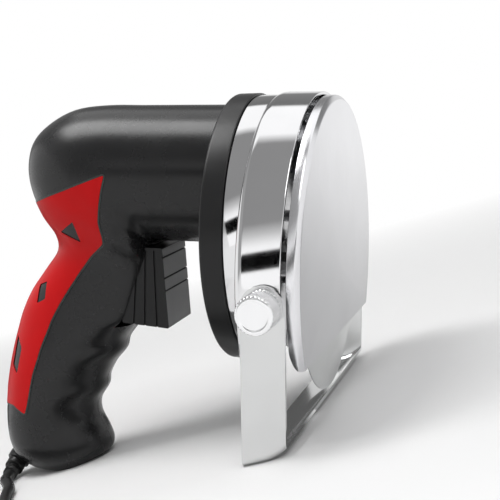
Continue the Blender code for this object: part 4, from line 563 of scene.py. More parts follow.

# %% [markdown]
# ## Handle: barrel and grip in two moulded halves
#
# The handle is one flowing form: a round barrel for the motor that turns down into a grip with finger
# swells. It is described by sections, each a line across the side view with a half width. Between the
# listed sections a smooth cubic fills in more, and each section is drawn as an oval whose inner side
# can be squarer than its outer side. Half of each oval makes one moulded half, closed on the parting
# plane, so the real parting line shows by itself as a hair-thin gap.

# %% Sections of the handle, in shares of its reach and height
HANDLE_shares = np.array([  # inner reach and height, outer reach and height, half width, squareness
    (-0.060, 0.000, 0.072, 1.000, 1.000, 2.0),
    (-0.012, 0.000, 0.289, 1.000, 1.000, 2.0),
    (0.004, -0.005, 0.482, 0.968, 0.990, 2.2),
    (0.007, -0.014, 0.639, 0.863, 0.955, 2.6),
    (0.010, -0.026, 0.735, 0.734, 0.900, 3.0),
    (0.012, -0.042, 0.771, 0.556, 0.840, 3.5),
    (0.018, -0.061, 0.757, 0.379, 0.760, 4.0),
    (0.030, -0.083, 0.705, 0.202, 0.680, 4.5),
    (0.045, -0.114, 0.627, 0.048, 0.620, 5.0),
    (0.062, -0.153, 0.617, -0.048, 0.590, 5.0),
    (0.084, -0.201, 0.699, -0.131, 0.582, 5.0),
    (0.108, -0.253, 0.795, -0.223, 0.585, 5.0),
    (0.132, -0.310, 0.861, -0.314, 0.590, 4.5),
    (0.163, -0.354, 0.895, -0.384, 0.600, 3.0),
    (0.224, -0.415, 0.923, -0.450, 0.613, 2.4),
    (0.246, -0.467, 0.945, -0.507, 0.620, 2.3),
    (0.311, -0.524, 0.964, -0.568, 0.626, 2.2),
    (0.357, -0.585, 0.980, -0.633, 0.629, 2.2),
    (0.369, -0.633, 0.989, -0.686, 0.629, 2.2),
    (0.424, -0.699, 0.998, -0.747, 0.629, 2.2),
    (0.424, -0.760, 1.000, -0.803, 0.632, 2.2),
    (0.377, -0.825, 0.998, -0.852, 0.639, 2.2),
    (0.354, -0.873, 0.986, -0.895, 0.645, 2.2),
    (0.365, -0.907, 0.954, -0.940, 0.626, 2.2),
    (0.390, -0.924, 0.855, -0.990, 0.565, 2.2),
])
BARREL_FRONT_X = -0.0458
FOOT_FRONT_X = CROOK_X - 0.0355
FOOT_REAR_X = FOOT_FRONT_X - 0.0235
FOOT_HALF_WIDTH = 0.0155
GROUND_DROP = 0.062
FOOT_SQUARENESS = 2.2
ROUND = 2.0
HANDLE_FILL = 5
HANDLE_SIDES = 40
NEARLY_ZERO = 1e-9


def ground_z(x):
    """Height of the table under the leaning tool: minus the drop, plus x times the lean's tangent."""
    return -GROUND_DROP + x * math.tan(LEAN)


def handle_sections():
    """Rows of inner point, outer point, half width and squareness, in metres."""
    heights = np.where(HANDLE_shares[:, [1, 3]] > 0, 2 * BARREL_RADIUS, HANDLE_DROP)
    x = CROOK_X - HANDLE_shares[:, [0, 2]] * HANDLE_REACH
    z = CROOK_Z + HANDLE_shares[:, [1, 3]] * heights
    body = np.stack([x[:, 0], z[:, 0], x[:, 1], z[:, 1], HANDLE_shares[:, 4] * BARREL_RADIUS,
                     HANDLE_shares[:, 5]], axis=1)
    top = MOTOR_Z + BARREL_RADIUS
    front = [(x0, CROOK_Z, x0, top, BARREL_RADIUS, ROUND)
             for x0 in (BARREL_FRONT_X, (BARREL_FRONT_X + CROOK_X) / 2)]
    foot = [(FOOT_FRONT_X, ground_z(FOOT_FRONT_X), FOOT_REAR_X, ground_z(FOOT_REAR_X),
             FOOT_HALF_WIDTH, FOOT_SQUARENESS)]
    return np.concatenate([front, body, foot])


sections = handle_sections()
print("handle sections:", len(sections), "from x", sections[0, 0].round(4), "to", sections[-1, 1].round(4))

# %% Ovals round the sections
def handle_grid(grown_by=0.0, half=0):
    """Grid of ovals: middle + along reach cos(a), across width sin(a).

    On the inner side the cosine and the sine are raised to the power 2 / squareness. Half is -1 for the
    near moulding and 1 for the far one, which stop half a gap short of the parting plane, or 0 for both.
    """
    rows = cubic_rows(sections, HANDLE_FILL)
    inner, outer = rows[:, 0:2], rows[:, 2:4]
    middle = (inner + outer) / 2
    along = outer - inner
    reach = np.linalg.norm(along, axis=1)
    along = along / reach[:, None]
    if half:
        angle = np.linspace(0.0, math.pi, HANDLE_SIDES + 1)
    else:
        angle = np.linspace(0.0, math.tau, 2 * HANDLE_SIDES, endpoint=False)
    c, s = np.cos(angle), np.sin(angle)
    s = np.where(np.abs(s) < NEARLY_ZERO, 0.0, s)
    power = np.where(c[None, :] > 0, 1.0, 2.0 / rows[:, 5:6])
    lengthways = np.sign(c) * np.abs(c)[None, :] ** power * (reach[:, None] / 2 + grown_by)
    sideways = np.sign(s) * np.abs(s)[None, :] ** power * (rows[:, 4:5] + grown_by)
    if half:
        sideways = half * np.maximum(np.abs(sideways), SEAT_GAP / 2)
    side_view = middle[:, None] + along[:, None] * lengthways[..., None]
    return grid_of(side_view[..., 0], sideways, side_view[..., 1])


# %% Guides, cuts and rounded edges
EASED_SEGMENTS = 2


def hidden(obj):
    """A guide that other pieces are cut by: it isn't part of the object and is removed after its use."""
    obj.hide_render = True
    return obj


def cut(obj, other, operation="DIFFERENCE"):
    """Cuts, joins or crosses one mesh with another, and keeps the result as the mesh."""
    modifier = obj.modifiers.new(other.name, "BOOLEAN")
    modifier.object = other
    modifier.operation = operation
    modifier.solver = "EXACT"
    graph = bpy.context.evaluated_depsgraph_get()
    result = bpy.data.meshes.new_from_object(obj.evaluated_get(graph))
    obj.modifiers.clear()
    obj.data = result
    obj.data.shade_smooth()
    obj.data.set_sharp_from_angle(angle=SHARP)


def eased(obj, width, from_degrees):
    """Rounds every edge that is sharper than an angle, so that it catches a thin line of light."""
    edge = obj.modifiers.new("edge", "BEVEL")
    edge.width = width
    edge.segments = EASED_SEGMENTS
    edge.limit_method = "ANGLE"
    edge.angle_limit = math.radians(from_degrees)


def discard(*guides):
    """Removes guides once the pieces that they cut are done."""
    for guide in guides:
        bpy.data.objects.remove(guide, do_unlink=True)


def count_faces(*pieces):
    """Prints how many faces each piece has."""
    for piece in pieces:
        print(piece.name, "has", len(piece.data.polygons), "faces")


# %% Outlines with rounded corners, and slabs cut from them
CORNER_SHARE = 0.48


def softened(outline, radius, steps=4):
    """Each corner becomes the curve (1-t)^2 a + 2t(1-t) corner + t^2 b between points before and after it.

    They lie a radius away from the corner, or just under half way to the next one where that is nearer.
    """
    corner = np.asarray(outline, float)
    before, after = np.roll(corner, 1, axis=0), np.roll(corner, -1, axis=0)
    radius = np.broadcast_to(np.asarray(radius, float), (len(corner),))[:, None]
    span_a = np.linalg.norm(before - corner, axis=1, keepdims=True)
    span_b = np.linalg.norm(after - corner, axis=1, keepdims=True)
    a = corner + (before - corner) * np.minimum(radius / span_a, CORNER_SHARE)
    b = corner + (after - corner) * np.minimum(radius / span_b, CORNER_SHARE)
    t = np.linspace(0.0, 1.0, steps)[None, :, None]
    curve = (1 - t) ** 2 * a[:, None] + 2 * t * (1 - t) * corner[:, None] + t * t * b[:, None]
    return curve.reshape(-1, 2)


def slab(name, outline, y_low, y_high, finish=None, body=None):
    """An (x, z) outline carried straight across the tool from y_low to y_high."""
    outline = np.asarray(outline, float)
    y = np.array([y_low, y_high])[:, None]
    return surface(name, in_frame(grid_of(outline[:, 0], y, outline[:, 1])), finish, body)


def cross_guide(name, outline, reach):
    """A hidden slab of an (x, z) outline, from one side of the tool to the other."""
    return hidden(slab(name, outline, -reach, reach))


def side_outline(shares):
    """Points (x, z) of the handle's side view from rows of shares."""
    return np.array([side_point(*pair) for pair in shares])


# %% The two halves, with the trigger's pocket cut into them
TRIGGER_HALF_WIDTH = 0.015
TRIGGER_GAP = 0.0004
POCKET_CORNER = 0.004
POCKET_shares = ((-0.300, -0.009), (0.170, -0.009), (0.290, -0.140), (0.290, -0.345), (-0.300, -0.345))

pocket = cross_guide("pocket_guide", softened(side_outline(POCKET_shares), POCKET_CORNER),
                     TRIGGER_HALF_WIDTH + TRIGGER_GAP)
handle_halves = []
for name, side, node in (("handle_near", -1, "housing_near"), ("handle_far", 1, "housing_far")):
    shell = surface(name, in_frame(handle_grid(0.0, side)), black_plastic)
    cut(shell, pocket)
    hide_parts(node)
    handle_halves.append(shell)
discard(pocket)
count_faces(*handle_halves)

# %% [markdown]
# ## Red shell on the back of the grip
#
# A second moulding in red wraps the back of the grip, with three small windows on each side through
# which the black housing shows. It is the handle's own form again, grown by less than half a
# millimetre and cut to the shell's outline in side view. That way it follows every curve below it.
# A bead of dark plastic runs along its edge, as the housing's lip does on the real tool.

# %% Cut the red shell out of the handle's form
INSERT_RAISE = 0.0004
INSERT_THICKNESS = 0.0017
INSERT_CORNER = 0.0012
WINDOW_CORNER = 0.0005
THROUGH_HANDLE = 2 * BARREL_RADIUS
INSERT_shares = (
    (0.90, 0.20), (0.720, 0.270), (0.440, 0.400), (0.170, 0.530), (0.195, 0.420), (0.216, 0.310),
    (0.238, 0.180), (0.230, 0.070), (0.236, 0.015), (0.330, -0.048), (0.410, -0.118), (0.478, -0.186),
    (0.532, -0.242), (0.595, -0.318), (0.667, -0.436), (0.730, -0.562), (0.770, -0.687),
    (0.787, -0.730), (0.880, -0.702), (1.10, -0.722), (1.10, -0.10),
)
WINDOW_shares = (
    ((0.505, 0.085), (0.400, 0.175), (0.375, 0.015)),
    ((0.700, -0.188), (0.640, -0.170), (0.643, -0.240), (0.706, -0.262)),
    ((0.862, -0.412), (0.850, -0.420), (0.815, -0.455), (0.845, -0.560), (0.856, -0.566), (0.894, -0.536)),
)

insert_outline = softened(side_outline(INSERT_shares), INSERT_CORNER)
shape_guide = cross_guide("shell_guide", insert_outline, THROUGH_HANDLE)
core_grid = handle_grid(INSERT_RAISE - INSERT_THICKNESS)
core_guide = hidden(surface("core_guide", in_frame(core_grid), None, None))
grip_shell = surface("grip_shell", in_frame(handle_grid(INSERT_RAISE)), red_shell)
cut(grip_shell, shape_guide, "INTERSECT")
cut(grip_shell, core_guide)
for number, shares in enumerate(WINDOW_shares):
    window = cross_guide(f"window_guide_{number}", softened(side_outline(shares), WINDOW_CORNER, 3),
                         THROUGH_HANDLE)
    cut(grip_shell, window)
    discard(window)
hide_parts("grip_insert")
discard(shape_guide, core_guide)
count_faces(grip_shell)

# %% The bead of the housing along the shell's edge
BEAD_WIDTH = 0.0008
BEAD_GAP = 0.0001
BEAD_RAISE = 0.0003
BEAD_FOOT = 0.0006


def outward(outline):
    """Unit vector out of a closed outline at each point, square to the line between its neighbours.

    Twice the enclosed area, the sum of x z' - x' z, says by its sign which way round the outline runs.
    """
    run = np.roll(outline, -1, axis=0) - np.roll(outline, 1, axis=0)
    square = np.stack([run[:, 1], -run[:, 0]], axis=1)
    square /= np.linalg.norm(square, axis=1, keepdims=True)
    after = np.roll(outline, -1, axis=0)
    return square * np.sign((outline[:, 0] * after[:, 1] - after[:, 0] * outline[:, 1]).sum())


bead_way = outward(insert_outline)
inner_guide = cross_guide("bead_inner", insert_outline + bead_way * BEAD_GAP, THROUGH_HANDLE)
outer_guide = cross_guide("bead_outer", insert_outline + bead_way * BEAD_WIDTH, THROUGH_HANDLE)
foot_guide = hidden(surface("bead_core", in_frame(handle_grid(-BEAD_FOOT)), None, None))
bead = surface("shell_bead", in_frame(handle_grid(BEAD_RAISE)), bead_plastic)
cut(bead, outer_guide, "INTERSECT")
cut(bead, inner_guide)
cut(bead, foot_guide)
discard(inner_guide, outer_guide, foot_guide)
count_faces(bead)

# %% [markdown]
# ## Turned parts: gear case, neck, drum and guard
#
# The head of the tool is a stack of round parts on two axes. A turned part needs only its profile:
# distance along the axle against distance from it. Sharp corners never look real, so every corner of
# a profile is softened first, and the edge then catches a thin line of light as pressed steel does.

# %% A lathe for profiles
ROUND_STEPS = 144


def turned(name, profile, finish, body="base", centre=(0.0, 0.0), steps=ROUND_STEPS, ring=False):
    """Grid of a profile (x, r) turned round the axle: y = r cos(a), z = r sin(a), about a centre (y, z)."""
    profile = np.array([point for point in profile if point[1] > 0])
    angle = np.linspace(0.0, math.tau, steps, endpoint=False)
    y = centre[0] + profile[:, 1:] * np.cos(angle)
    z = centre[1] + profile[:, 1:] * np.sin(angle)
    return surface(name, in_frame(grid_of(profile[:, :1], y, z)), finish, body, wrap_rows=ring)


def open_softened(profile, radius, steps=5):
    """Softens the inner corners of a profile that ends on the axle, and keeps its two ends."""
    rounded = softened(profile, radius, steps).reshape(len(profile), steps, 2)
    return np.concatenate([np.asarray(profile[:1], float), rounded[1:-1].reshape(-1, 2),
                           np.asarray(profile[-1:], float)])


# %% Gear case and neck ring
CASE_RISE = 0.0155
CASE_RADIUS = 0.0595
CASE_REAR_X = -0.0455
CASE_FRONT_X = -0.0355
CASE_WALL = 0.003
CASE_DRAFT = 0.0002
CASE_CORNERS = (0, 0.00156, 0.0005, 0.0005, 0.002, 0)
NECK_RADIUS = 0.0587
NECK_REAR_X = -0.0352
NECK_FRONT_X = -0.0264
NECK_WALL = 0.002
NECK_CORNER = 0.0004

case_inner = CASE_RADIUS - CASE_WALL
case_profile = [(CASE_REAR_X, 0.0), (CASE_REAR_X, CASE_RADIUS - CASE_DRAFT), (CASE_FRONT_X, CASE_RADIUS),
                (CASE_FRONT_X, case_inner), (CASE_REAR_X + CASE_WALL, case_inner),
                (CASE_REAR_X + CASE_WALL, 0.0)]
case = turned("gear_case_shell", open_softened(case_profile, CASE_CORNERS, 8), case_plastic,
              centre=(0.0, CASE_RISE))
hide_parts("gear_case")
neck_profile = softened([(NECK_REAR_X, NECK_RADIUS - NECK_WALL), (NECK_REAR_X, NECK_RADIUS),
                         (NECK_FRONT_X, NECK_RADIUS), (NECK_FRONT_X, NECK_RADIUS - NECK_WALL)], NECK_CORNER)
neck = turned("neck_band", neck_profile, polished_steel, centre=(0.0, CASE_RISE), ring=True)
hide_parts("neck_ring")
count_faces(case, neck)

# %% Blade drum, open in front and cut flat below
DRUM_RADIUS = 0.0755
DRUM_FRONT_X = -0.0071
DRUM_REAR_X = -0.0261
DRUM_WALL = 0.0015
DRUM_CORNERS = (0.0003, 0.0036, 0.0004, 0.0004, 0.0015, 0.0003)
CHORD_DROP = 0.0317
CHORD_OVERRUN = 0.005
BORE_RADIUS = 0.0098
GUARD_RADIUS = 0.074
GUARD_REAR_X = -0.0053
GUARD_WALL = 0.0014

drum_inner = DRUM_RADIUS - DRUM_WALL
drum_profile = softened([(DRUM_REAR_X, BORE_RADIUS), (DRUM_REAR_X, DRUM_RADIUS),
                         (DRUM_FRONT_X, DRUM_RADIUS), (DRUM_FRONT_X, drum_inner),
                         (DRUM_REAR_X + DRUM_WALL, drum_inner), (DRUM_REAR_X + DRUM_WALL, BORE_RADIUS)],
                        DRUM_CORNERS, 6)
drum = turned("drum_shell", drum_profile, polished_steel, ring=True)
chord = [(DRUM_REAR_X - CHORD_OVERRUN, -CHORD_DROP), (CHORD_OVERRUN, -CHORD_DROP),
         (CHORD_OVERRUN, -3 * CHORD_DROP), (DRUM_REAR_X - CHORD_OVERRUN, -3 * CHORD_DROP)]
chord_guide = cross_guide("chord_guide", chord, 2 * DRUM_RADIUS)
cut(drum, chord_guide)
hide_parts("blade_drum")
count_faces(drum)

# %% Front guard: a shallow cup with a flat face, its lower corner trimmed back
GUARD_CHAMFER = 0.0018
GUARD_CORNERS = (0, 0.0005, 0.0005, 0.0003, 0.0003, 0.0008, 0)
TRIM_RUN = 0.0135
GUIDE_OVERRUN = 0.002

guard_inner = GUARD_RADIUS - GUARD_WALL
guard_profile = open_softened([(0.0, 0.0), (0.0, GUARD_RADIUS - GUARD_CHAMFER),
                               (-GUARD_CHAMFER, GUARD_RADIUS), (GUARD_REAR_X, GUARD_RADIUS),
                               (GUARD_REAR_X, guard_inner), (-GUARD_WALL, guard_inner), (-GUARD_WALL, 0.0)],
                              GUARD_CORNERS, 4)
guard = turned("guard_shell", guard_profile, satin_steel)
cut(guard, chord_guide)
turn = np.linspace(0.0, math.pi / 2, 13)
trim_reach = -GUARD_REAR_X - GUARD_WALL
trim_curve = np.stack([GUARD_REAR_X - SEAT_GAP + trim_reach * (1 - np.cos(turn)),
                       -CHORD_DROP + TRIM_RUN * (1 - np.sin(turn))], axis=1)
trim_back = GUARD_REAR_X - GUIDE_OVERRUN
trim = np.concatenate([trim_curve, [(trim_curve[-1, 0], -2 * CHORD_DROP), (trim_back, -2 * CHORD_DROP),
                                    (trim_back, trim_curve[0, 1])]])
trim_guide = cross_guide("trim_guide", trim, 2 * GUARD_RADIUS)
cut(guard, trim_guide)
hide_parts("front_guard")
discard(chord_guide, trim_guide)
count_faces(guard)

# %% Blade and clamp hub, which turn together
BLADE_RADIUS = 0.056
BLADE_REAR_X = -0.0053
BLADE_FRONT_X = -0.0041
BLADE_BEVEL = 0.005
BLADE_EDGE = 0.0004
BLADE_CORNERS = (0.0001, 0.0004, 0.00008, 0.00015, 0.0001)
BLADE_STEPS = 192
SPINDLE_BORE = 0.0043
HUB_RADIUS = 0.014
HUB_REAR_X = -0.0116
HUB_FRONT_X = -0.0056
HUB_LAND = 0.003
HUB_CORNER = 0.0004
HUB_STEPS = 64

blade_profile = softened([(BLADE_REAR_X, SPINDLE_BORE), (BLADE_REAR_X, BLADE_RADIUS - BLADE_BEVEL),
                          (BLADE_FRONT_X - BLADE_EDGE, BLADE_RADIUS), (BLADE_FRONT_X, BLADE_RADIUS),
                          (BLADE_FRONT_X, SPINDLE_BORE)], BLADE_CORNERS, 4)
blade = turned("round_blade", blade_profile, blade_steel, "blade_rotor", ring=True, steps=BLADE_STEPS)
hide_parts("blade")
hub_profile = softened([(HUB_REAR_X, SPINDLE_BORE), (HUB_REAR_X, HUB_RADIUS / 2),
                        (HUB_FRONT_X - HUB_LAND, HUB_RADIUS), (HUB_FRONT_X, HUB_RADIUS),
                        (HUB_FRONT_X, SPINDLE_BORE)], HUB_CORNER)
hub = turned("clamp_hub", hub_profile, plain_steel, "blade_rotor", ring=True, steps=HUB_STEPS)
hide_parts("blade_hub")
count_faces(blade, hub)

# %% [markdown]
# ## Bracket and thumb nuts
#
# The bracket is one strip of 1.8 mm steel bent into a U. Its legs are rounded at the top, where a slot
# rides on a threaded stud, and its base lies on the table and curls up in front. The strip is a grid
# again: one direction crosses the strip's width, the other follows the U's outline once round.

# %% The bracket's strip
BRACKET_WIDTH = 0.018
BRACKET_THICKNESS = 0.0018
BRACKET_HALF_SPAN = 0.0778
BRACKET_CORNER = 0.0032
BRACKET_MID_X = -0.0138
BRACKET_CURL = 0.0033
BRACKET_TRAVEL = 0.004
BRACKET_EDGE = 0.00022
KNOB_DROP = 0.0048
STUD_RADIUS = 0.0025
STRIP_STEPS = 40
CORNER_STEPS = 8


def bracket_bottom_z(x):
    """Base height: the table, plus the curl times the square of the way from the middle to the front."""
    way = np.clip((x - BRACKET_MID_X) / (BRACKET_WIDTH / 2), 0.0, 1.0)
    return ground_z(x) + BRACKET_CURL * way ** 2


def bracket_grid():
    """For each x across the strip: down the outer leg, round both corners, up, and back inside."""
    half = BRACKET_WIDTH / 2
    angle = np.linspace(math.pi, 0.0, STRIP_STEPS + 1)
    x = BRACKET_MID_X + half * np.cos(angle)
    top = (-KNOB_DROP + half * np.sin(angle) + SEAT_GAP)[:, None]
    low = bracket_bottom_z(x)[:, None]
    corner = np.linspace(0.0, math.pi / 2, CORNER_STEPS)[None, :]
    inner_corner = BRACKET_CORNER - BRACKET_THICKNESS
    middle = BRACKET_HALF_SPAN - BRACKET_CORNER

    def leg(radius):
        """One corner, from the leg to the base: middle + radius cos, low + corner - radius sin."""
        return (np.broadcast_to(middle + radius * np.cos(corner), (len(x), CORNER_STEPS)),
                low + BRACKET_CORNER - radius * np.sin(corner))

    outer_y, outer_z = leg(BRACKET_CORNER)
    inner_y, inner_z = leg(inner_corner)
    span = np.full((len(x), 1), BRACKET_HALF_SPAN)
    y = np.concatenate([-span, -outer_y, outer_y[:, ::-1], span, span - BRACKET_THICKNESS,
                        inner_y, -inner_y[:, ::-1], -span + BRACKET_THICKNESS], axis=1)
    z = np.concatenate([top, outer_z, outer_z[:, ::-1], top, top, inner_z, inner_z[:, ::-1], top], axis=1)
    return grid_of(x[:, None], y, z)


def slot_outline():
    """Two half circles a travel apart: the slot that the stud slides along."""
    turn = np.linspace(-math.pi / 2, math.pi / 2, 13)
    radius = STUD_RADIUS + SEAT_GAP
    across, upwards = radius * np.cos(turn), radius * np.sin(turn)
    front = np.stack([BRACKET_MID_X + BRACKET_TRAVEL + across, -KNOB_DROP + upwards], axis=1)
    rear = np.stack([BRACKET_MID_X - BRACKET_TRAVEL - across, -KNOB_DROP - upwards], axis=1)
    return np.concatenate([front, rear])


bracket = surface("bracket_strap", in_frame(bracket_grid()), bracket_steel, "bracket", folded=True)
slot_guide = cross_guide("slot_guide", slot_outline(), BRACKET_HALF_SPAN + GUIDE_OVERRUN)
cut(bracket, slot_guide)
discard(slot_guide)
eased(bracket, BRACKET_EDGE, 60.0)
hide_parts("thickness_bracket")
count_faces(bracket)

# %% Thumb nuts: a knurled rim and a dished face
KNOB_RADIUS = 0.0079
KNOB_LENGTH = 0.0112
KNURL_FLUTES = 30
KNURL_DEPTH = 0.0005
KNURL_ROWS = 30
KNURL_POINTS = 6
KNURL_SLANT = 0.9
KNOB_PLAIN_END = 0.0009
KNOB_BORE = 0.0026
KNOB_CHAMFER = 0.0011
KNOB_ROUND_LENGTH = 0.0004
KNOB_ROUND_DEPTH = 0.00045
KNOB_DISH = 0.00012
KNOB_DISH_shares = (0.72, 0.70, 0.66)


def round_stud_axis(y, r, angle, side):
    """Grid round the stud's axis: x = middle + r cos(a), z = r sin(a) - drop, and y on one side."""
    return grid_of(BRACKET_MID_X + r * np.cos(angle), side * y, -KNOB_DROP + r * np.sin(angle))


def knob_grid(side):
    """Rim radius = R - depth (0.5 + 0.5 cos(n a + twist)) crossed with its mirror: a diamond knurl."""
    base = BRACKET_HALF_SPAN + SEAT_GAP
    end = base + KNOB_LENGTH
    angle = np.linspace(0.0, math.tau, KNURL_FLUTES * KNURL_POINTS, endpoint=False)[None, :]
    along = np.linspace(base + KNOB_PLAIN_END, end - KNOB_PLAIN_END, KNURL_ROWS)[:, None]
    twist = (along - base) / KNOB_RADIUS * KNURL_FLUTES * KNURL_SLANT
    left = 0.5 + 0.5 * np.cos(KNURL_FLUTES * angle + twist)
    other = 0.5 + 0.5 * np.cos(KNURL_FLUTES * angle - twist)
    rim = KNOB_RADIUS - KNURL_DEPTH * np.maximum(left, other)
    rounded, chamfered = KNOB_RADIUS - KNOB_ROUND_DEPTH, KNOB_RADIUS - KNOB_CHAMFER
    dish_edge, dish_wall, dish_floor = (KNOB_RADIUS * share for share in KNOB_DISH_shares)
    back = np.array([(base, KNOB_BORE), (base, chamfered), (base + KNOB_ROUND_LENGTH, rounded)])
    face = np.array([(end - KNOB_ROUND_LENGTH, rounded), (end, chamfered), (end, dish_edge),
                     (end - KNOB_DISH, dish_wall), (end - KNOB_DISH, dish_floor), (end - KNOB_DISH, 0.0)])
    y = np.concatenate([back[:, :1], along, face[:, :1]])
    r = np.concatenate([np.repeat(back[:, 1:], angle.size, axis=1), rim,
                        np.repeat(face[:, 1:], angle.size, axis=1)])
    return round_stud_axis(y, r, angle, side)


# %% Threads of the studs, and both pairs made
STUD_LENGTH = 0.014
STUD_PITCH = 0.0008
THREAD_DEPTH = 0.0003
THREAD_ROWS = 120
THREAD_SIDES = 24


def stud_grid(side):
    """Thread: radius = R - depth |saw|; the saw's phase is y / pitch + a / full turn, so it climbs."""
    seat = math.sqrt(DRUM_RADIUS ** 2 - (KNOB_DROP + STUD_RADIUS) ** 2)
    y = np.linspace(seat + SEAT_GAP * 1.5, seat + STUD_LENGTH, THREAD_ROWS)[:, None]
    angle = np.linspace(0.0, math.tau, THREAD_SIDES, endpoint=False)[None, :]
    saw = np.abs(((y / STUD_PITCH + angle / math.tau) % 1.0) * 2 - 1)
    return round_stud_axis(y, STUD_RADIUS - THREAD_DEPTH * saw, angle, side)


for name, side in (("near", -1), ("far", 1)):
    knob = surface(f"thumb_nut_{name}", in_frame(knob_grid(side)), knob_steel, f"thumb_knob_{name}",
                   sharp=math.radians(50.0))
    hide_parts(f"knob_{name}")
    stud = surface(f"threaded_stud_{name}", in_frame(stud_grid(side)), plain_steel,
                   sharp=math.radians(80.0))
    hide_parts(f"stud_{name}")
    count_faces(knob, stud)

# %% [markdown]
# ## Trigger, boot, plug and tie
#
# The trigger is a wedge that swings on a pin. Its front face has three grooves across it and is a
# lighter grey than its ribbed sides, partly its own grey and partly painted light that keeps the shaded
# face looking lit. The boot is a rubber sleeve in three tiers that step down towards the cord, and it
# keeps the cord from kinking. The plug is a moulded body with a ribbed neck, and a strap ties the coil.
# These are small, but they are what the eye goes to next after the steel head.

# %% The trigger's wedge
HINGE_shares = (0.072, -0.048)
TRIGGER_HEIGHT = 0.0372
TRIGGER_CORNERS = (0.0008, 0.0008, 0.0012, 0.004, 0.002, 0.002, 0.002)
TRIGGER_shares = (
    (0.318, 0.105), (0.376, -0.890), (-0.242, -0.845), (-0.175, -0.480), (-0.135, 0.045),
    (-0.070, 0.098), (0.060, 0.108),
)

hinge = np.array(side_point(*HINGE_shares))
outline = hinge + np.array(TRIGGER_shares) * TRIGGER_HEIGHT
face_top, face_bottom = outline[0], outline[1]
trigger = slab("trigger_wedge", softened(outline, TRIGGER_CORNERS, 4),
               -TRIGGER_HALF_WIDTH, TRIGGER_HALF_WIDTH, trigger_plastic, "trigger_lever")
print("trigger's face runs from z", face_top[1].round(4), "to", face_bottom[1].round(4))

# %% Grooves across its face, and grooves down its sides with ribs between them
TRIGGER_GROOVE = 0.0008
TRIGGER_GROOVE_WIDTH = 0.0009
FACE_GROOVE_shares = (-0.010, -0.265, -0.420)
SIDE_GROOVE_shares = ((0.210, 0.225), (0.100, 0.060), (-0.005, -0.090))
SIDE_GROOVE_TOP = 0.0012
SIDE_GROOVE_BOTTOM = 0.002


def face_x(z):
    """Where the front face lies at a height: straight between its top and bottom corners."""
    way = (face_bottom[0] - face_top[0]) * (face_top[1] - z)
    return face_top[0] + way / (face_top[1] - face_bottom[1])


half_groove = TRIGGER_GROOVE_WIDTH / 2
for share in FACE_GROOVE_shares:
    z = hinge[1] + share * TRIGGER_HEIGHT
    groove = [(face_x(z) - TRIGGER_GROOVE, z), (face_x(z) + GUIDE_OVERRUN, z - half_groove * 3),
              (face_x(z) + GUIDE_OVERRUN, z + half_groove * 3)]
    guide = cross_guide("groove_guide", groove, TRIGGER_HALF_WIDTH + GUIDE_OVERRUN)
    cut(trigger, guide)
    discard(guide)
for top_share, bottom_share in SIDE_GROOVE_shares:
    top_x, top_z = hinge[0] + top_share * TRIGGER_HEIGHT, face_top[1] - SIDE_GROOVE_TOP
    low_x, low_z = hinge[0] + bottom_share * TRIGGER_HEIGHT, face_bottom[1] - SIDE_GROOVE_BOTTOM
    for side in (-1, 1):
        groove = [(top_x - half_groove, top_z), (top_x + half_groove, top_z),
                  (low_x + half_groove, low_z), (low_x - half_groove, low_z)]
        y = side * (TRIGGER_HALF_WIDTH - TRIGGER_GROOVE), side * (TRIGGER_HALF_WIDTH + GUIDE_OVERRUN)
        guide = hidden(slab("side_guide", groove, *sorted(y)))
        cut(trigger, guide)
        discard(guide)
count_faces(trigger)

# %% A lighter finish on the trigger's face, partly painted light, and rounded edges
FACE_FORWARD = 0.9
FACE_DEPTH = 0.0025
TRIGGER_EDGE = 0.00018


def face_vectors(mesh, kind):
    """The normal or the centre of every face, as an (n, 3) array."""
    values = np.zeros(len(mesh.polygons) * 3)
    mesh.polygons.foreach_get(kind, values)
    return values.reshape(-1, 3)


trigger.data.materials.append(trigger_face)
forward = face_vectors(trigger.data, "normal") @ AXLE
depth = (face_vectors(trigger.data, "center") - ORIGIN) @ AXLE
front = (forward > FACE_FORWARD) & (depth > face_x(hinge[1]) - FACE_DEPTH)
trigger.data.polygons.foreach_set("material_index", front.astype(np.int32))
eased(trigger, TRIGGER_EDGE, 50.0)
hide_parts("trigger")
print("faces of the lighter front:", int(front.sum()))

# %% The boot: a flange in the heel, then three tiers that shrink towards the cord
BOOT_FLANGE_RADIUS = 0.0062
BOOT_NECK_RADIUS = 0.0043
BOOT_BASE_RADIUS = 0.0056
BOOT_END_RADIUS = 0.0035
BOOT_TIERS = 3
BOOT_GROOVE = 0.0005
BOOT_GROOVE_SLOPE = 12.0
BOOT_GROOVE_START = 5.0
BOOT_ROUNDING = 0.0003
BOOT_FINE_STEPS = 60
BOOT_SIDES = 40

inside = HOUSING_WALL * 1.5
fine_bend = bend(boot_bend[0], boot_heading, boot_final, BOOT_BEND_LENGTH, BOOT_FINE_STEPS)
way = np.linspace(0.0, 1.0, len(fine_bend))
tier = np.minimum(np.floor(way * BOOT_TIERS), BOOT_TIERS - 1)
tier_way = way * BOOT_TIERS - tier
groove = BOOT_GROOVE * np.clip(np.abs(tier_way - 0.5) * BOOT_GROOVE_SLOPE - BOOT_GROOVE_START, 0.0, 1.0)
bend_radii = BOOT_BASE_RADIUS + (BOOT_END_RADIUS - BOOT_BASE_RADIUS) * tier / (BOOT_TIERS - 1) - groove
start_offsets = np.array([-inside - BOOT_COLLAR_LENGTH, -inside - SEAT_GAP, -inside, SEAT_GAP,
                          2 * SEAT_GAP, 2.4 * SEAT_GAP])
start_points = boot_root + boot_heading * start_offsets[:, None]
start_radii = [BOOT_FLANGE_RADIUS, BOOT_FLANGE_RADIUS, BOOT_NECK_RADIUS, BOOT_NECK_RADIUS,
               BOOT_BASE_RADIUS - BOOT_ROUNDING, BOOT_BASE_RADIUS]
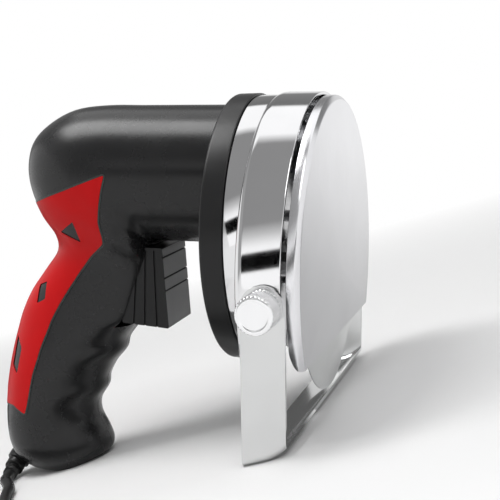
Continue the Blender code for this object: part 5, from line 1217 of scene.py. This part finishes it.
end_points = fine_bend[-1] + boot_final * np.array([[BOOT_COLLAR_LENGTH * 0.8], [BOOT_COLLAR_LENGTH]])
boot_path = np.concatenate([start_points, fine_bend, end_points])
boot_radii = np.concatenate([start_radii, bend_radii, [BOOT_END_RADIUS, BOOT_END_RADIUS - BOOT_ROUNDING]])
boot = surface("cord_boot", tube(boot_path, boot_radii, BOOT_SIDES), cord_rubber)
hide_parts("strain_relief")
cord.data.materials.append(cord_rubber)
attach(cord, "base")
count_faces(boot, cord)

# %% The plug: a two-pin body with a ribbed neck and grip hollows
PLUG_LENGTH = 0.036
PLUG_shares = np.array([(0.0, 0.300), (0.02, 0.314), (0.30, 0.393), (0.36, 0.72), (0.52, 1.0), (0.95, 1.0),
                        (1.0, 0.90)])
PLUG_CORNER = 0.0012
PLUG_SPACING = 0.0005
PLUG_SIDES = 96
NECK_END_share = 0.30
RIB_DEPTH = 0.0004
RIB_PITCH = 0.0022
GRIP_MIDDLE_share = 0.70
GRIP_REACH = 0.006
GRIP_DEPTH = 0.0016


def plug_frame(along, level_across, upwards):
    """Plug point to frame: plug end plus along its heading, across it and up."""
    sideways = np.cross((0.0, 0.0, 1.0), PLUG_HEADING)
    grid = PLUG_END + PLUG_HEADING * SEAT_GAP + along[..., None] * PLUG_HEADING
    return grid + level_across[..., None] * sideways + upwards[..., None] * np.array([0.0, 0.0, 1.0])


def plug_round(along, radius, sides, sideways=0.0):
    """Grid round the plug's axis: sideways + radius cos(a) across and radius sin(a) up, at each length."""
    angle = np.linspace(0.0, math.tau, sides, endpoint=False)[None, :]
    along = np.broadcast_to(along, (len(along), sides))
    return plug_frame(along, sideways + radius * np.cos(angle), radius * np.sin(angle))


plug_outline = open_softened(np.concatenate([[(0.0, 0.0)], PLUG_shares * (PLUG_LENGTH, PLUG_RADIUS),
                                             [(PLUG_LENGTH, 0.0)]]), PLUG_CORNER, 5)
plug_outline = even_steps(plug_outline[1:-1], PLUG_SPACING)
plug_way = plug_outline[:, :1]
ribs = RIB_DEPTH * (plug_way < NECK_END_share * PLUG_LENGTH) * np.abs(
    np.clip(np.sin(plug_way / RIB_PITCH * math.tau), -0.4, 0.6))
plug_turn = np.linspace(0.0, math.tau, PLUG_SIDES, endpoint=False)[None, :]
hollow = np.exp(-((plug_way - GRIP_MIDDLE_share * PLUG_LENGTH) / GRIP_REACH) ** 2) * np.cos(plug_turn) ** 6
plug_radius = plug_outline[:, 1:] - ribs - GRIP_DEPTH * hollow
plug_mesh = surface("plug_moulding", plug_round(plug_way, plug_radius, PLUG_SIDES), dark_grey_plastic)
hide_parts("plug_body")
count_faces(plug_mesh)

# %% Its two pins, each a rod with a rounded tip
PIN_RADIUS = 0.0024
PIN_LENGTH = 0.019
PIN_SPREAD = 0.0095
PIN_TIP_share = 0.35
PIN_SIDES = 24

nose = np.linspace(0.0, math.pi / 2, 7)[:-1]
pin_tip = np.stack([PLUG_LENGTH + PIN_LENGTH - PIN_RADIUS + PIN_RADIUS * np.sin(nose),
                    PIN_RADIUS * (PIN_TIP_share + (1 - PIN_TIP_share) * np.cos(nose))], axis=1)
pin_profile = np.concatenate([[(PLUG_LENGTH - 2 * PIN_RADIUS + SEAT_GAP, PIN_RADIUS)], pin_tip])
pins = []
for name, side in (("left", 1), ("right", -1)):
    pin = surface(f"plug_pin_{name}_turned", plug_round(pin_profile[:, :1], pin_profile[:, 1:], PIN_SIDES,
                                                        side * PIN_SPREAD), pin_brass)
    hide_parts(f"plug_pin_{name}")
    pins.append(pin)
count_faces(*pins)

# %% The tie round the coil: a strap with rounded edges
TIE_THICKNESS = 0.0012
TIE_WIDTH = 0.006
TIE_CORNER = 0.0014
TIE_EDGE = 0.0004

half_thick, half_wide = TIE_THICKNESS / 2, TIE_WIDTH / 2
tie_inner = COIL_MEAN_RADIUS - spread / 2 - CORD_RADIUS - SEAT_GAP - half_thick
tie_outer = COIL_MEAN_RADIUS + spread / 2 + CORD_RADIUS + SEAT_GAP + half_thick
tie_top = 2 * CORD_RADIUS + COIL_LAYER_RISE + 2 * SEAT_GAP + half_thick
loop = softened([(tie_inner, half_thick), (tie_outer, half_thick), (tie_outer, tie_top),
                 (tie_inner, tie_top)], TIE_CORNER, 7)
strap_section = softened([(-half_wide, -half_thick), (half_wide, -half_thick), (half_wide, half_thick),
                          (-half_wide, half_thick)], TIE_EDGE, 3)
reach = loop[:, None] + outward(loop)[:, None] * strap_section[None, :, 1:]
strap = grid_of(COIL_CENTRE[0] + strap_section[:, 0], COIL_CENTRE[1] - reach[..., 0],
                np.maximum(reach[..., 1], 0.0))
tie = surface("coil_strap", strap, black_rubber, wrap_rows=True)
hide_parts("cord_tie")
count_faces(tie)

# %% [markdown]
# ## The solids that stay
#
# The works inside and the small fixings keep their solids, because their shapes are already right.
# Each one still gets the finish of what it is made of, for views where the tool is opened or turned.

# %% Finishes for the remaining solids
FIXINGS = {"guard_post": 3, "drum_screw": 3, "case_screw": 4, "housing_screw": 4}
INNER_FINISHES = {
    plain_steel: ["blade_nut", "blade_spindle", "spindle_bearing_rear", "spindle_bearing_front",
                  "motor_bearing_front", "motor_pinion", "trigger_pin", "bearing_carrier"]
    + [f"{name}_{number + 1}" for name, count in FIXINGS.items() for number in range(count)],
    lamination_steel: ["motor_stator"],
    copper_winding: ["motor_armature"],
    white_nylon: ["drive_gear"],
    dark_grey_plastic: ["motor_fan", "motor_end_bell", "switch_block", "switch_plunger"],
    brush_carbon: ["brush_upper", "brush_lower"],
}
for finish, names in INNER_FINISHES.items():
    for name in names:
        solid = nodes[name].data
        solid.materials.clear()
        solid.materials.append(finish)
shown = [name for name, solid in nodes.items() if not solid.hide_render]
named = {name for names in INNER_FINISHES.values() for name in names}
print("solids still shown:", len(shown), "without a finish:", sorted(set(shown) - named))

# %% [markdown]
# ## Floor and light
#
# The tool stands on a pale floor that sweeps up behind it, under an even pale sky. Both are lit like
# anything else near the tool, and plain white further off and to mirrors. Two soft lamps shape it: one
# over the handle gives the plastic its broad highlight, and one at the right lights the guard. Light
# linking keeps the handle's lamp off the neck and the drum, where it would draw a band too many.

# %% White for the rays that see, and one sheet for the floor and the cards
TARGET = np.array([0.0, 0.0, 0.09])


def combined(tree, operation, first, second):
    """Two values put together, as the larger of them or as their product."""
    node = tree.nodes.new("ShaderNodeMath")
    node.operation = operation
    tree.links.new(first, node.inputs[0])
    tree.links.new(second, node.inputs[1])
    return node.outputs["Value"]


def chosen(tree, factor, first, second):
    """The first shader where the factor is 0, the second where it is 1."""
    node = tree.nodes.new("ShaderNodeMixShader")
    tree.links.new(factor, node.inputs["Fac"])
    tree.links.new(first, node.inputs[1])
    tree.links.new(second, node.inputs[2])
    return node.outputs["Shader"]


def seen_rays(tree):
    """1 for rays from the camera, from mirrors and through glass, and 0 for the light itself."""
    rays = tree.nodes.new("ShaderNodeLightPath")
    direct = combined(tree, "MAXIMUM", rays.outputs["Is Camera Ray"], rays.outputs["Is Glossy Ray"])
    return combined(tree, "MAXIMUM", direct, rays.outputs["Is Transmission Ray"])


def open_sheet(name, points, finish):
    """Open grid (rows, 2, 3) whose normals, across x along, point to the tool's side."""
    across, along = points[0, 1] - points[0, 0], points[1, 0] - points[0, 0]
    quads = grid_faces(len(points), 2, False, False)
    if np.cross(across, along) @ (TARGET - points[0, 0]) <= 0:
        quads = quads[:, ::-1]
    mesh = bpy.data.meshes.new(name)
    mesh.from_pydata(points.reshape(-1, 3).tolist(), [], quads.tolist())
    mesh.materials.append(finish)
    sheet = bpy.data.objects.new(name, mesh)
    bpy.context.collection.objects.link(sheet)
    return sheet


# %% The floor's finish: pale near the tool, white further off and to mirrors in front
FADE_START = 0.14
FADE_END = 0.75
FRONT_FADE_START = -0.08
FRONT_FADE_END = -0.19

floor_finish, tree, shader = new_finish("pale_floor", (0.86, 0.86, 0.86), 0.6, specular=0.2)
uneven_gloss(tree, shader, noise(tree, tool_coordinates(tree), scale=3.0, detail=2.0), 0.58, 0.62)
place = tree.nodes.new("ShaderNodeTexCoord")
split = tree.nodes.new("ShaderNodeSeparateXYZ")
tree.links.new(place.outputs["Object"], split.inputs["Vector"])
behind = between(tree, split.outputs["Y"], 0.0, 1.0, FADE_START, FADE_END)
before = between(tree, split.outputs["Y"], 0.0, 1.0, FRONT_FADE_START, FRONT_FADE_END)
faded = combined(tree, "MAXIMUM", behind, before)
white = tree.nodes.new("ShaderNodeEmission")
fade = combined(tree, "MULTIPLY", faded, seen_rays(tree))
tree.links.new(chosen(tree, fade, shader.outputs["BSDF"], white.outputs["Emission"]),
               tree.nodes["Material Output"].inputs["Surface"])
print("the floor is white behind y", FADE_END, "and in front of y", FRONT_FADE_END)

# %% The floor, which sweeps up behind the tool
FLOOR_FRONT = -4.0
FLOOR_BACK = 1.6
SWEEP_RADIUS = 1.2
SWEEP_STEPS = 25
WALL_TOP = 5.0
FLOOR_HALF_WIDTH = 7.0

sweep = np.linspace(0.0, math.pi / 2, SWEEP_STEPS)
floor_y = np.concatenate([[FLOOR_FRONT], FLOOR_BACK + SWEEP_RADIUS * np.sin(sweep),
                          [FLOOR_BACK + SWEEP_RADIUS]])
floor_z = np.concatenate([[0.0], SWEEP_RADIUS * (1 - np.cos(sweep)), [WALL_TOP]])
floor_x = np.array([-FLOOR_HALF_WIDTH, FLOOR_HALF_WIDTH])
floor = open_sheet("floor", grid_of(floor_x, floor_y[:, None], floor_z[:, None]), floor_finish)
floor.data.shade_smooth()
count_faces(floor)

# %% Sky: plain and pale, and white where the camera or a mirror sees it
SKY_LIGHT = 0.50
world = bpy.data.worlds.new("studio")
bpy.context.scene.world = world
world.use_nodes = True
sky = world.node_tree
plain, seen = sky.nodes["Background"], sky.nodes.new("ShaderNodeBackground")
for background, strength in ((plain, SKY_LIGHT), (seen, 1.0)):
    background.inputs["Color"].default_value = (1.0, 1.0, 1.0, 1.0)
    background.inputs["Strength"].default_value = strength
sky.links.new(chosen(sky, seen_rays(sky), plain.outputs["Background"], seen.outputs["Background"]),
              sky.nodes["World Output"].inputs["Surface"])
print("the sky lights at", SKY_LIGHT)

# %% Soft lamps, each a flat panel on an arc over the tool
def strip_lamp(name, middle, spread, distance, left, right, radiance):
    """Panel square to the line at an angle above the front horizon; power = radiance x pi x area."""
    middle, spread = math.radians(middle), math.radians(spread)
    lamp = bpy.data.lights.new(name, "AREA")
    lamp.shape = "RECTANGLE"
    lamp.size = right - left
    lamp.size_y = 2 * distance * math.tan(spread / 2)
    lamp.energy = radiance * math.pi * lamp.size * lamp.size_y
    obj = bpy.data.objects.new(name, lamp)
    bpy.context.collection.objects.link(obj)
    facing = np.array([0.0, -math.cos(middle), math.sin(middle)])
    matrix = np.eye(4)
    matrix[:3, :3] = np.stack([(1.0, 0.0, 0.0), np.cross(facing, (1.0, 0.0, 0.0)), facing], axis=1)
    matrix[:3, 3] = TARGET + facing * distance + np.array([(left + right) / 2, 0.0, 0.0])
    obj.matrix_world = matrix.T.tolist()
    print(name, "is", round(lamp.size, 2), "by", round(lamp.size_y, 2), "m")
    return obj


handle_lamp = strip_lamp("handle_lamp", middle=86.0, spread=24.0, distance=0.50,
                         left=-0.31, right=0.10, radiance=7.2)
strip_lamp("right_lamp", middle=62.0, spread=30.0, distance=1.30, left=0.35, right=1.50, radiance=2.6)
steel_bands = bpy.data.collections.new("steel_bands")
handle_lamp.light_linking.receiver_collection = steel_bands
for number, piece in enumerate((neck, drum)):
    steel_bands.objects.link(piece)
    steel_bands.collection_objects[number].light_linking.link_state = "EXCLUDE"

# %% [markdown]
# ## What the steel mirrors
#
# Polished steel shows its surroundings and little else, so a photographer sets dark and white cards
# round it. Here they are glowing sheets that only mirror rays see: they draw the crisp bands on the drum
# and shade the guard's face, and they light nothing. Each one's brightness runs through stops along its
# length, and its back is clear. The lead lies in front of the tool, where it would show in the steel as
# dark patches, so mirror rays pass it by.

# %% Sheets that only mirrors see
SHEET_STEPS = 181


def mirror_sheet(name, points, bands):
    """Glowing sheet whose value runs with its rows through (share, value) stops, and whose back is clear."""
    finish = bpy.data.materials.new(name)
    finish.use_nodes = True
    tree = finish.node_tree
    tree.nodes.clear()
    glow = tree.nodes.new("ShaderNodeEmission")
    clear = tree.nodes.new("ShaderNodeBsdfTransparent")
    side = tree.nodes.new("ShaderNodeNewGeometry")
    out = tree.nodes.new("ShaderNodeOutputMaterial")
    way = tree.nodes.new("ShaderNodeAttribute")
    way.attribute_name = "way"
    stops = tree.nodes.new("ShaderNodeValToRGB")
    stops.color_ramp.elements.remove(stops.color_ramp.elements[1])
    for number, (share, value) in enumerate(bands):
        stop = stops.color_ramp.elements.new(share) if number else stops.color_ramp.elements[0]
        stop.position = share
        stop.color = (value, value, value, 1.0)
    tree.links.new(way.outputs["Fac"], stops.inputs["Fac"])
    tree.links.new(stops.outputs["Color"], glow.inputs["Color"])
    tree.links.new(chosen(tree, side.outputs["Backfacing"], glow.outputs["Emission"], clear.outputs["BSDF"]),
                   out.inputs["Surface"])
    sheet = open_sheet(name, points, finish)
    along = sheet.data.attributes.new("way", "FLOAT", "POINT")
    along.data.foreach_set("value", np.repeat(np.linspace(0.0, 1.0, len(points)), 2).astype(np.float32))
    for ray in ("camera", "diffuse", "transmission", "volume_scatter", "shadow"):
        setattr(sheet, "visible_" + ray, False)
    print(name, "has", len(bands), "stops")


# %% The arch of bands over the tool, on the camera's side
ARCH_RADIUS = 2.2
ARCH_HALF_LENGTH = 2.6
ARCH_SPLIT_X = -0.88
ARCH_FROM = -8.0
ARCH_TO = 184.0
STEEL_BANDS = ((-8.0, 1.20), (7.4, 1.20), (8.4, 0.0), (18.6, 0.0), (19.4, 1.25), (23.0, 1.10), (29.0, 0.68),
               (36.0, 0.32), (92.0, 0.32), (100.0, 1.25), (131.0, 1.25), (134.0, 0.20), (158.0, 0.25),
               (164.0, 0.8), (184.0, 0.8))
HANDLE_BANDS = ((-8.0, 1.0), (7.4, 0.9), (14.0, 0.40), (92.0, 0.40), (110.0, 0.30), (184.0, 0.45))


def arch(name, left, right, bands):
    """Half a tube over the tool, from an angle above the front horizon round to one behind."""
    turn = np.radians(np.linspace(ARCH_FROM, ARCH_TO, SHEET_STEPS))[:, None]
    points = grid_of(np.array([left, right]), -ARCH_RADIUS * np.cos(turn),
                     TARGET[2] + ARCH_RADIUS * np.sin(turn))
    stops = [((angle - ARCH_FROM) / (ARCH_TO - ARCH_FROM), value) for angle, value in bands]
    mirror_sheet(name, points, stops)


arch("steel_arch", ARCH_SPLIT_X, ARCH_HALF_LENGTH, STEEL_BANDS)
arch("handle_arch", -ARCH_HALF_LENGTH, ARCH_SPLIT_X, HANDLE_BANDS)

# %% Painted reflections: cards on the floor that darken the guard's face and the bracket's base, and a dark one that stands behind
CARD_LIFT = 0.0008
FACE_CARD_X = (0.068, 0.60)
FACE_CARD_Y = (-0.02, 1.00)
FACE_CARD_BANDS = ((0.0, 0.46), (0.16, 0.56), (0.26, 0.67), (0.49, 0.86), (0.97, 1.0))
BASE_CARD_X = (-0.40, 0.002)
BASE_CARD_Y = 0.15
BASE_CARD_Z = (0.0, 0.12)
BASE_CARD_BANDS = ((0.0, 0.12), (1.0, 0.12))
BASE_FLOOR_X = (-0.15, 0.066)
BASE_FLOOR_Y = (-0.074, -0.02)
BASE_FLOOR_BANDS = ((0.0, 0.12), (0.6, 0.12), (1.0, 0.8))


def card(name, x, y, z, bands):
    """Flat sheet from left to right; y and z, a number or a pair, run from its first stop to its last."""
    rows = np.linspace(0.0, 1.0, SHEET_STEPS)[:, None]
    y, z = (np.interp(rows, (0.0, 1.0), pair) if np.ndim(pair) else pair for pair in (y, z))
    mirror_sheet(name, grid_of(np.array(x), y, z), bands)


# Painted shade in the steel: the face card darkens the guard's face towards its lower edge, and the base
# cards darken the bracket's base.
card("face_card", FACE_CARD_X, FACE_CARD_Y, CARD_LIFT, FACE_CARD_BANDS)
card("base_card", BASE_CARD_X, BASE_CARD_Y, BASE_CARD_Z, BASE_CARD_BANDS)
card("base_floor_card", BASE_FLOOR_X, BASE_FLOOR_Y, CARD_LIFT, BASE_FLOOR_BANDS)
for piece in (cord, plug_mesh, *pins, tie):
    piece.visible_glossy = False

bpy.context.scene.view_settings.view_transform = "Standard"
